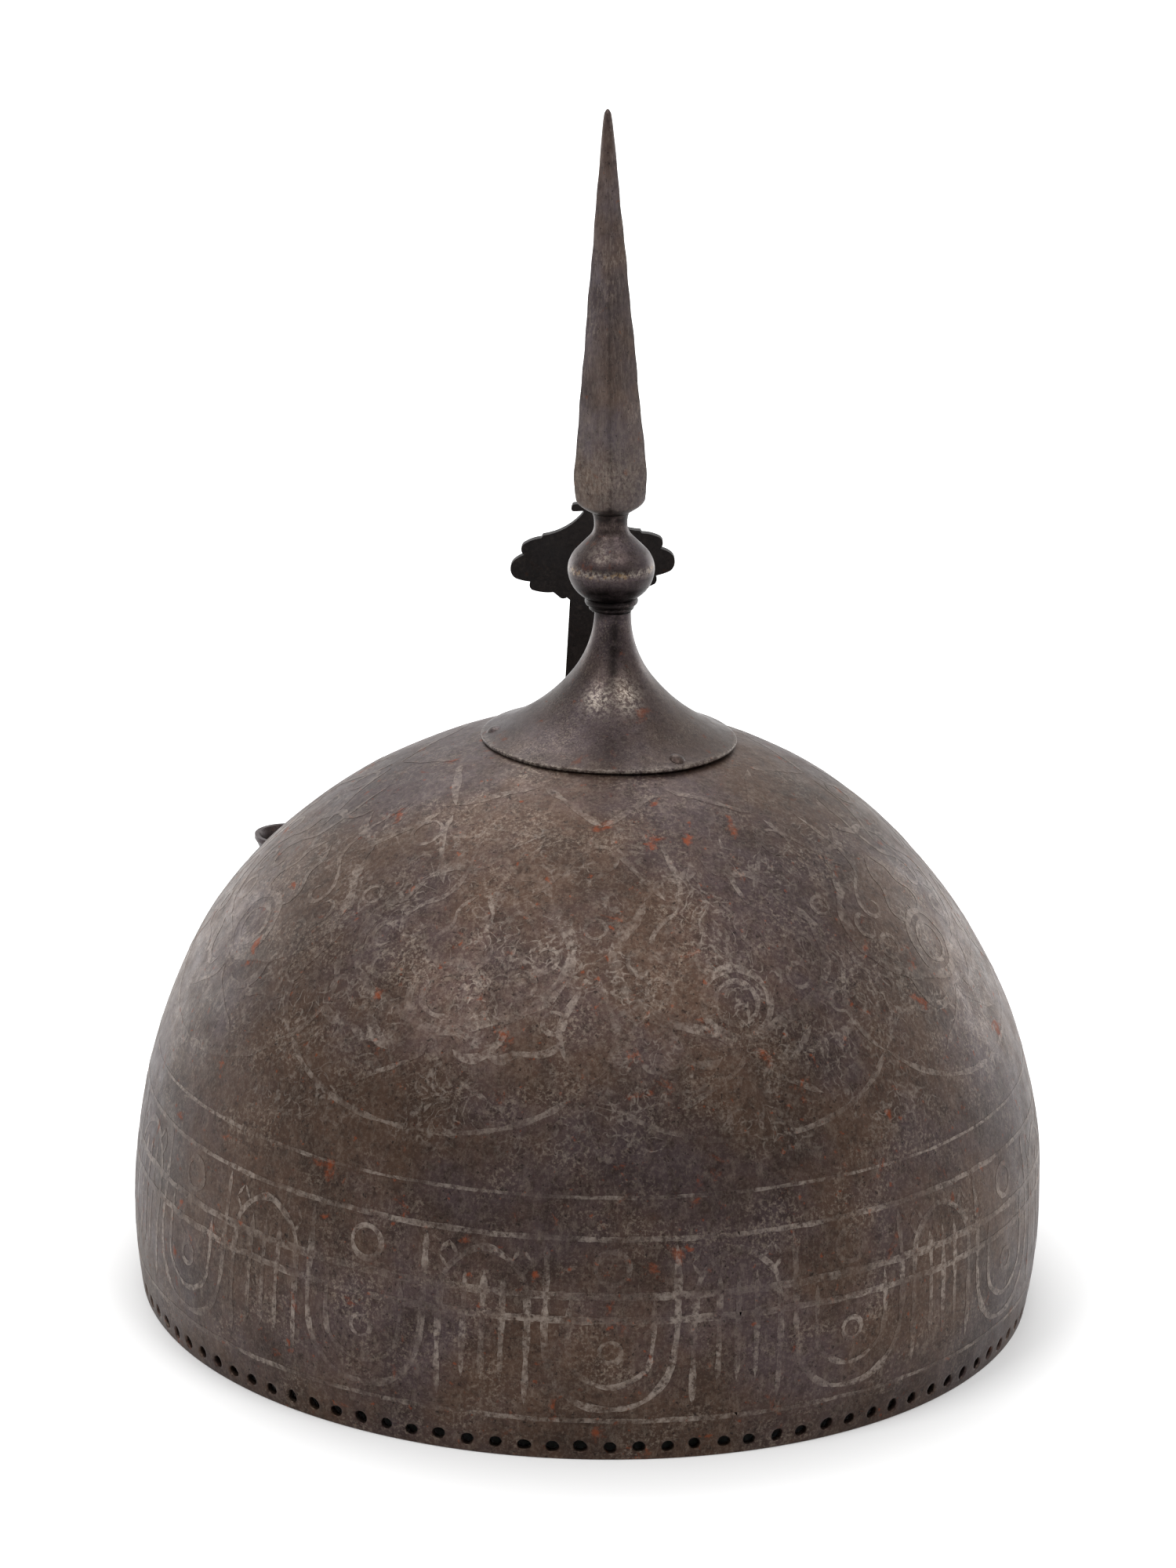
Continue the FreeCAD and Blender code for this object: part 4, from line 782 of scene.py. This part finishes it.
def flared_foot():
    """The trumpet foot: two hollow rounds from a narrow neck to a thin skirt whose edge waves a little.

    The inside is the same rounds with the wall added. Far out, radius and height get small sines of turn.
    """
    neck_centre = (NECK_RADIUS + NECK_FLARE, NECK_TOP)
    skirt_centre = (FLARE_ACROSS, BOWL_HEIGHT + FLARE_RISE)
    edge_turn = math.degrees(math.acos((FLARE_ACROSS - SKIRT_RADIUS) / SKIRT_FLARE))
    outside = np.concatenate([arc(neck_centre, NECK_FLARE, 180, 180 + FLARE_TURN, 26),
                              arc(skirt_centre, SKIRT_FLARE, 180 + FLARE_TURN, 180 + edge_turn, 34)[1:]])
    lip = outside[-1]
    edge = softened([lip, lip + (0.14, -0.12), lip + (0.12, -0.75), lip + (-0.9, -0.9)], 0.3)
    inside = np.concatenate([
        arc(skirt_centre, SKIRT_FLARE + BASE_WALL, 180 + edge_turn - 1.3, 180 + FLARE_TURN, 20),
        arc(neck_centre, NECK_FLARE + BASE_WALL, 180 + FLARE_TURN, 180 + FLARE_TURN - 6, 6)[1:]])
    bore = [(BORE_RADIUS, inside[-1][1]), (BORE_RADIUS, NECK_TOP)]
    profile = np.concatenate([outside, edge[1:], inside, bore])

    def wobble(radius, height, turn):
        far = np.clip((radius - 12) / 15, 0, 1) ** 2
        radius = radius + far * (0.12 * np.sin(3 * turn + 1) + 0.07 * np.sin(7 * turn))
        height = height + far * (0.10 * np.sin(2 * turn + 2.3) + 0.06 * np.sin(5 * turn))
        return radius, height

    points, faces = turned(profile, 160, wobble)
    return points + np.array([BASE_AXIS, 0, 0]), faces


def stacked(profile, columns=96):
    """A turned profile in its place on the leaning stack."""
    points, faces = turned(profile, columns)
    return leaning(points, STACK_FOOT, STACK_LEAN), faces


def collar_profile():
    """Two beads one over the other, each an arc, the upper one wider."""
    lower = arc((4.15, 0.72), 0.72, -80, 80, 12)
    upper = arc((4.75, 2.0), 0.95, -65, 55, 16)
    foot_ring = [(TANG_HOLE, 0.0), (NECK_RADIUS, 0.0)]
    top_ring = [(5.3, COLLAR_HEIGHT), (TANG_HOLE, COLLAR_HEIGHT)]
    return np.concatenate([foot_ring, lower, upper, top_ring])


def lower_round(steps):
    """The lower cup's outside, an arc from its foot out to the seam."""
    return arc_between((KNOP_FOOT_RADIUS, COLLAR_HEIGHT + PIECE_GAP), (KNOP_RADIUS, SEAM - PIECE_GAP),
                       LOWER_ROUND, steps)


def upper_round(end, steps):
    """The upper cup's outside, an arc from just over the seam to an angle above level."""
    return arc((KNOP_RADIUS - UPPER_ROUND, SEAM), UPPER_ROUND, 0.5, end, steps)


def lower_cup_profile():
    """A deep round below the seam, and a round inside it at the wall's thickness."""
    foot = COLLAR_HEIGHT + PIECE_GAP
    inner = arc_between((KNOP_RADIUS - KNOP_WALL, SEAM - PIECE_GAP),
                        (KNOP_FOOT_RADIUS - KNOP_WALL, foot + KNOP_WALL), -(LOWER_ROUND - KNOP_WALL), 10)
    return np.concatenate([[(TANG_HOLE, foot)], lower_round(26), inner, [(TANG_HOLE, foot + KNOP_WALL)]])


def upper_cup_profile():
    """A tighter round above the seam, then a hollow neck that spreads a little at its top.

    A straight flank is tangent to both rounds, so it rises as far as it goes inwards at 45 degrees.
    """
    a = math.radians(SHOULDER_TURN)
    shoulder_end = KNOP_RADIUS - UPPER_ROUND + UPPER_ROUND * math.cos(a)
    neck_start = KNOP_NECK_RADIUS + KNOP_NECK_ROUND - KNOP_NECK_ROUND * math.cos(a)
    flank = shoulder_end - neck_start
    neck_height = SEAM + UPPER_ROUND * math.sin(a) + flank + KNOP_NECK_ROUND * math.sin(a)
    neck_centre = (KNOP_NECK_RADIUS + KNOP_NECK_ROUND, neck_height)
    hollow = arc(neck_centre, KNOP_NECK_ROUND, 180 + SHOULDER_TURN, 180, 14)
    rise = np.linspace(neck_height + 0.3, KNOP_TOP, 12)
    spread = 0.4 * np.clip((rise - (KNOP_TOP - 2.0)) / 2.0, 0, 1) ** 2
    neck = np.stack([KNOP_NECK_RADIUS + spread, rise], axis=-1)
    bore = [(TANG_HOLE, KNOP_TOP), (TANG_HOLE, 14.0), (8.3, SEAM + PIECE_GAP)]
    return np.concatenate([upper_round(SHOULDER_TURN, 22), hollow, neck, bore])


def brazing_profile():
    """Brass over the knop's seam: a smear that follows both cups and thins out to nothing at its edges.

    It is the cups' own rounds near the seam, moved out by 0.03 mm, and its inside is within the cups' walls.
    """
    below = lower_round(60)
    below = below[below[:, 1] > SEAM - 0.9]
    above = upper_round(24, 14)
    run = np.concatenate([below, above])
    t = np.linspace(0, 1, len(run))
    out = 0.03 * np.minimum(1, np.minimum(t, 1 - t) * 5)
    run = run + np.stack([out, 0 * out], axis=-1)
    inside = KNOP_RADIUS - 0.7
    return np.concatenate([run, [(inside, above[-1, 1] - 0.1), (inside, below[0, 1] + 0.1)]])


def blade_skin():
    """Four flat faces that grow out of a round foot and narrow to a blunt tip.

    A section is a square standing on its corner with rounded edges: the distance from the axis is the
    reach over (cosine^power + sine^power)^(1 / power). A power of two is a circle, near one a square.
    """
    heights = (0, 0.35, 0.8, 1.4, 2.2, 3.7, 5.6, 8.2, 12, 17.5, 34.2, 50.8, 67.2, 75.4, 79, 81.7, 83.6, 84.8,
               BLADE_HEIGHT)
    reaches = (3.95, 4.6, 5.5, 6.4, 7.1, 7.5, 7.65, 7.72, 7.42, 6.9, 5.43, 3.93, 2.44, 1.71, 1.4, 1.12, 0.88,
               0.6, 0.2)
    up = np.concatenate([np.linspace(0, 6, 28), np.linspace(6.8, 80, 60),
                         np.linspace(80.5, BLADE_HEIGHT, 14)])
    reach = flowing(up, heights, reaches)[:, None]
    power = np.interp(up, [0, 0.8, 2.2, 5.0, 70, 85.4], [2.0, 1.55, 1.2, 1.07, 1.1, 1.5])[:, None]
    up = up[:, None]
    turn = np.linspace(0, 2 * math.pi, 128, endpoint=False)
    c = np.abs(np.cos(turn))[None, :]
    s = np.abs(np.sin(turn))[None, :]
    radius = reach * (c ** power + s ** power) ** (-1 / power)
    dents = 0.06 * np.sin(0.31 * up + 3 * turn) + 0.05 * np.sin(0.83 * up + 2 * turn + 1)
    radius = radius + dents * np.clip(up / 6, 0, 1) * np.clip((84 - up) / 20, 0, 1)
    base = KNOP_TOP + PIECE_GAP
    rings = np.stack([radius * np.cos(turn), radius * np.sin(turn), base + up + 0 * radius], axis=-1)
    poles = [np.broadcast_to(end.mean(axis=1, keepdims=True), end.shape) for end in (rings[:1], rings[-1:])]
    grid = np.concatenate([poles[0], rings, poles[1]])
    return leaning(grid.reshape(-1, 3), STACK_FOOT, STACK_LEAN), grid_faces(len(grid), 128, wrap_columns=True)


def tang_profile():
    """The round tang with its spread end, from the washer inside the foot up into the blade."""
    end = -(NECK_DEPTH + STACK_GAP + WASHER_GAP + WASHER_THICKNESS + PIECE_GAP)
    top = KNOP_TOP + 0.1
    return [(0, end - PEEN_HEIGHT), (0.8 * PEEN_RADIUS, end - 0.9), (PEEN_RADIUS, end - 0.5),
            (PEEN_RADIUS, end), (TANG_RADIUS, end), (TANG_RADIUS, top), (0, top)]


def up_the_stack(points):
    """Points back in the upright frame of the leaning stack: across, away and up from its foot."""
    a = math.radians(-STACK_LEAN)
    x, y, z = (points - np.asarray(STACK_FOOT)).T
    return x * math.cos(a) + z * math.sin(a), y, z * math.cos(a) - x * math.sin(a)


def band_at(points, height, spread):
    """A soft band round the stack at a height: 1 in its middle, fading with the square of the distance."""
    return np.exp(-((up_the_stack(points)[2] - height) / spread) ** 2)


def spot(points, centre, wide, tall):
    """A soft round spot about a point: 1 in its middle, fading with the square of the distance."""
    gap = (points - np.asarray(centre)) / (wide, wide, tall)
    return np.exp(-(gap ** 2).sum(axis=1))


def blade_grime(points):
    """Dark scale in a line down each ridge and round the foot of the blade."""
    x, y, z = up_the_stack(points)
    ridge = np.exp(-(np.minimum(np.abs(x), np.abs(y)) / 0.4) ** 2)
    return np.maximum(ridge * 0.4 * np.clip((80 - z) / 20, 0, 1), 0.8 * band_at(points, 21.3, 1.0))


def knop_shade_and_soot(points):
    """Painted shade and a painted dark reflection, darker towards the bottom of the bulb and over the beads
    under it, and soot where the neck meets the blade.
    """
    z = up_the_stack(points)[2]
    # painted shade and dark reflection: darker below the seam, most of all low on the bulb and on the beads
    low = np.clip((6.2 - z) / 0.8, 0, 1) * 0.6 + np.clip((8.8 - z) / 0.4, 0, 1) * 0.32
    return np.maximum(low, 0.85 * band_at(points, 20.4, 1.3))


def foot_reflection_and_soot(points):
    """A painted dark reflection in a streak down the back of the neck, and soot under the collar."""
    p = points - (BASE_AXIS, 0, NECK_TOP)
    # painted dark reflection: a streak down the back of the neck, on the +Y side, where the room is dim
    dark_reflection = 0.85 * np.exp(-((p[:, 0] + 0.4) / 1.1) ** 2) * np.clip((p[:, 2] + 16) / 4, 0, 1) * (p[:, 1] > 0)
    return np.maximum(dark_reflection * 0.9, np.clip((p[:, 2] + 2.0) / 1.5, 0, 1) * 0.8)


def foot_rubbed_and_highlights(points):
    """Bare patches on the flare where a hand takes hold, and a bare line along the lip of the skirt; both are
    also painted highlights.
    """
    reach = np.hypot(points[:, 0] - BASE_AXIS, points[:, 1])
    patches = np.maximum(*(spot(points, *mark) for mark in FLARE_RUBS_AND_HIGHLIGHTS))
    return np.maximum(patches * 0.8, 0.4 * np.clip((reach - 26.7) / 0.6, 0, 1))


foot = piece("finial_foot_skin", [flared_foot()], finial_steel, "helmet", ["finial_base"],
             sharp=60)
# a painted dark reflection down the back of the neck, and soot under the collar
paint(foot, "grime_and_shade", foot_reflection_and_soot)
# bare metal on the flare and the lip, painted there as highlights too
paint(foot, "rubbed_and_highlight", foot_rubbed_and_highlights)
beads = piece("finial_collar_beads", [stacked(collar_profile())], finial_steel, "helmet",
              ["finial_collar"], sharp=60)
# painted shade on the beads under the bulb
paint(beads, "grime_and_shade", knop_shade_and_soot)
lower_cup = piece("knop_lower_skin", [stacked(lower_cup_profile())], finial_steel, "helmet",
                  ["knop_lower_cup"], sharp=60)
# painted shade and dark reflection low on the bulb
paint(lower_cup, "grime_and_shade", knop_shade_and_soot)
upper_cup = piece("knop_upper_skin", [stacked(upper_cup_profile())], finial_steel, "helmet",
                  ["knop_upper_cup"], sharp=60)
# painted shade just over the seam, and soot where the neck meets the blade
paint(upper_cup, "grime_and_shade", knop_shade_and_soot)
paint(upper_cup, "rubbed_and_highlight", lambda points: 0.4 * spot(points, *SHOULDER_MARK))
brazing = piece("knop_seam_brazing", [stacked(brazing_profile())], brazing_brass, "helmet",
                ["knop_brazing"], sharp=60)
paint(brazing, "rubbed_and_highlight", lambda points: 0.6 * band_at(points, 9.6, 0.8))
blade = piece("spike_blade", [blade_skin(), stacked(tang_profile(), 40)], spike_steel, "helmet",
              ["spike"], sharp=35)
paint(blade, "grime_and_shade", blade_grime)
paint(blade, "rubbed_and_highlight", lambda points: 0.16 * band_at(points, 30.0, 11.0))


# Nasal bar

NASAL_OFFSET = 2.8
NASAL_LEAN = 3.2
GUIDE_HEIGHT = 44.0
STAND_OFF = 1.2
BAR_THICKNESS = 2.6
BAR_HALF = 7.4
BAR_END_HALF = 5.65
TAPER = 20.0
UPPER_LEAF = 92.3
LOWER_LEAF = 27.0
LEAF_TILT = math.radians(1.2)
LEAF_WIDE = 19.5
LEAF_RISE = 15.3
LEAF_FALL = 8.0
# corners of a leaf's half, from the bar outwards: shares across and up, then the radius share of the arc that
# leads to the next corner; 0 is a straight line and a negative radius bulges inwards
LEAF_HALF = ((0.325, -0.92, 0.07), (0.425, -0.875, 0), (0.487, -0.735, 0.55), (0.748, -0.62, 0.075),
             (0.76, -0.369, 0.6), (0.945, -0.24, 0.1425), (0.96, 0.145, 0.35), (0.826, 0.235, 0.082),
             (0.815, 0.415, 0.5), (0.61, 0.49, 0), (0.592, 0.53, -0.735), (0.087, 0.863, 0),
             (0.087, 0.887, 0), (0.205, 0.887, 0.035), (0.23, 0.96, 0.035), (0.2, 1.0, 0), (0.0, 1.0, 0))


def leaf_edge():
    """Outline of a leaf's half in millimetres from its centre: short arcs between the cusps."""
    corners = [(LEAF_WIDE * a, (LEAF_RISE if u > 0 else LEAF_FALL) * u) for a, u, r in LEAF_HALF]
    run = []
    for (a, u, r), start, end in zip(LEAF_HALF, corners[:-1], corners[1:]):
        if r:
            run.append(arc_between(start, end, r * LEAF_WIDE, 9)[:-1])
        else:
            run.append(np.array([start]))
    return np.concatenate(run + [np.array([corners[-1]])])


def nasal_outline():
    """The bar with a leaf at each end, right side upwards and left side down, across and up in millimetres.

    The bar narrows towards each leaf. Points of the upper leaf sink by their place across times a small sine,
    which tilts it.
    """
    leaf = leaf_edge()
    upper = leaf + (0, UPPER_LEAF)
    lower = leaf[::-1] * (1, -1) - (0, LOWER_LEAF)
    bar_foot = LEAF_FALL - LOWER_LEAF
    bar_top = UPPER_LEAF - LEAF_FALL
    bar = [(BAR_END_HALF, bar_foot), (BAR_HALF, bar_foot + TAPER), (BAR_HALF, bar_top - TAPER),
           (BAR_END_HALF, bar_top)]
    side = np.concatenate([lower, bar, upper])
    other = side[-2:0:-1] * (-1, 1)
    outline = np.concatenate([side, other])
    high = np.clip((outline[:, 1] - bar_top) / 3, 0, 1)
    return outline - np.stack([0 * high, high * outline[:, 0] * math.sin(LEAF_TILT)], axis=-1)


def nasal_piece():
    """A flat forged bar cut from its outline, made 2.6 mm thick, with its edges rounded by a file."""
    outline = nasal_outline()
    points = np.stack([outline[:, 0], 0 * outline[:, 0], outline[:, 1]], axis=-1)
    middle = -(WIDEST + STAND_OFF) - BAR_THICKNESS / 2
    points = leaning(points, (-NASAL_OFFSET, middle, GUIDE_HEIGHT), NASAL_LEAN)
    mesh = bpy.data.meshes.new("nasal_bar_skin")
    mesh.from_pydata((points * MM).tolist(), [], [list(range(len(points)))])
    work = bmesh.new()
    work.from_mesh(mesh)
    bmesh.ops.triangulate(work, faces=work.faces)
    work.to_mesh(mesh)
    work.free()
    mesh.materials.append(black_iron)
    made = placed("nasal_bar_skin", mesh)
    thick = made.modifiers.new("thickness", "SOLIDIFY")
    thick.thickness = BAR_THICKNESS * MM
    thick.offset = 0
    soft = made.modifiers.new("filed_edges", "BEVEL")
    soft.width = 0.35 * MM
    soft.segments = 2
    soft.limit_method = "ANGLE"
    soft.angle_limit = math.radians(60)
    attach(made, "nasal")
    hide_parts("nasal_bar")


nasal_piece()


# CAD nodes that stay

STAYING = {"finial_rivets": finial_steel, "tang_washer": spike_steel, "nasal_guide": finial_steel,
           "guide_rivets": finial_steel, "clamp_screw": black_iron, "plume_plate_left": finial_steel,
           "plume_rivets_left": finial_steel, "plume_plate_right": finial_steel,
           "plume_rivets_right": finial_steel, "plume_tube_left": finial_steel,
           "plume_tube_right": finial_steel}

for name, material in STAYING.items():
    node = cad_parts[name]
    node.data.materials.clear()
    node.data.materials.append(material)


# Floor, light and camera

def plain_floor():
    """A wide pale paper floor that shows white to the camera, with the helmet's soft shadow and a painted
    shadow ring.

    The white is added for the camera and the gloss only: none under the bowl, a little near the helmet, which
    is a painted shadow ring round it, and more far off, by the distance from the bowl's axis.
    """
    corners = np.array([[-6000, -9000, 0], [6000, -9000, 0], [6000, 6000, 0], [-6000, 6000, 0]])
    floor = placed("floor", mesh_from("floor", corners, np.array([[0, 1, 2, 3]])))
    material = bpy.data.materials.new("pale_paper_floor")
    material.use_nodes = True
    tree = material.node_tree
    tree.nodes.clear()
    place = add(tree, "TexCoord", output="Object")
    reach = add(tree, "VectorMath", {0: place}, "Value", operation="LENGTH")
    far = add(tree, "MapRange", {"Value": reach, "From Min": 0.2, "From Max": 0.9,
                                 "To Min": 0.4, "To Max": 1.0})
    # painted shadow ring: less white out to 135 mm from the bowl's axis
    painted_shadow_ring = add(tree, "MapRange", {"Value": reach, "From Min": 0.06, "From Max": 0.135},
               interpolation_type="SMOOTHSTEP")
    outside = add(tree, "MapRange", {"Value": reach, "From Min": 94 * MM, "From Max": 98 * MM},
                  interpolation_type="SMOOTHSTEP")
    ray = add(tree, "LightPath").node
    strength = add(tree, "Math", {0: ray.outputs["Is Camera Ray"], 1: ray.outputs["Is Glossy Ray"]},
                   operation="ADD")
    for share in (far, painted_shadow_ring, outside):
        strength = add(tree, "Math", {0: strength, 1: share}, operation="MULTIPLY")
    paper = add(tree, "BsdfDiffuse", {"Color": "#e6e6e6"})
    white = add(tree, "Emission", {"Color": "#ffffff", "Strength": strength})
    add(tree, "OutputMaterial", {"Surface": add(tree, "AddShader", {0: paper, 1: white})})
    floor.data.materials.append(material)


def pale_world():
    """Even light all round: white to the camera, and to the gloss a room that is dim on the camera's side.

    The room is dim where a way points level and towards +Y: 1 less 0.95 times both shares.
    """
    world = bpy.data.worlds.new("pale_studio")
    bpy.context.scene.world = world
    world.use_nodes = True
    tree = world.node_tree
    tree.nodes.clear()
    way = add(tree, "SeparateXYZ", {"Vector": add(tree, "TexCoord", output="Generated")}).node
    back = add(tree, "MapRange", {"Value": way.outputs["Y"], "From Min": 0.05, "From Max": 0.75},
               interpolation_type="SMOOTHSTEP")
    level = add(tree, "MapRange", {"Value": way.outputs["Z"], "From Min": 0.75, "From Max": 0.25},
                interpolation_type="SMOOTHSTEP")
    dim = add(tree, "Math", {0: back, 1: level}, operation="MULTIPLY")
    dim = add(tree, "Math", {0: dim, 1: 0.95}, operation="MULTIPLY")
    room = add(tree, "Math", {0: 1.0, 1: dim}, operation="SUBTRACT")
    ray = add(tree, "LightPath").node
    glossy = add(tree, "Math", {0: ray.outputs["Is Glossy Ray"], 1: room}, operation="MULTIPLY")
    even = add(tree, "Math", {0: ray.outputs["Is Diffuse Ray"], 1: 0.5}, operation="MULTIPLY")
    strength = add(tree, "Math", {0: ray.outputs["Is Camera Ray"], 1: glossy}, operation="MAXIMUM")
    strength = add(tree, "Math", {0: strength, 1: even}, operation="MAXIMUM")
    light = add(tree, "Background", {"Color": "#ffffff", "Strength": strength})
    add(tree, "OutputWorld", {"Surface": light})


def soft_light(name, place, size, power):
    """A square soft box that faces the helmet's middle; place and size in metres, power in watts."""
    middle = Vector((0, 0, 0.1))
    lamp = bpy.data.lights.new(name, "AREA")
    lamp.shape = "SQUARE"
    lamp.size = size
    lamp.energy = power
    holder = placed(name, lamp)
    holder.location = place
    holder.rotation_euler = (middle - Vector(place)).to_track_quat("-Z", "Y").to_euler()


def photo_camera():
    """The photo's view: 100 mm lens on a 36 mm long side, looking down 16.8 degrees, rolled 1.55 degrees.

    Right, up and back are the camera's own axes: turned to face -Y, tipped by the pitch and rolled.
    """
    pitch = 0.2934
    roll = 0.0271
    right = Vector((-math.cos(roll), -math.sin(pitch) * math.sin(roll), math.cos(pitch) * math.sin(roll)))
    up = Vector((math.sin(roll), -math.sin(pitch) * math.cos(roll), math.cos(pitch) * math.cos(roll)))
    back = Vector((0, math.cos(pitch), math.sin(pitch)))
    data = bpy.data.cameras.new("photo_camera")
    data.lens = 100
    data.sensor_width = 36
    data.clip_start = 0.05
    data.clip_end = 50
    camera = placed("photo_camera", data)
    place = Vector((2.0555, 901.0437, 385.1601)) * MM
    camera.matrix_world = Matrix.Translation(place) @ Matrix((right, up, back)).transposed().to_4x4()
    bpy.context.scene.camera = camera


pale_world()
plain_floor()
soft_light("left_soft_box", (0.75, 0.75, 1.6), 0.55, 9.5)
soft_light("right_soft_box", (-0.62, 0.68, 1.7), 0.55, 7.4)
soft_light("top_soft_box", (0.2, -0.9, 1.5), 1.2, 15)
soft_light("left_rim_light", (1.15, -1.2, 0.25), 0.7, 4.2)
soft_light("right_rim_light", (-1.15, -1.2, 0.25), 0.7, 4.2)
photo_camera()
bpy.context.scene.view_settings.view_transform = "Standard"
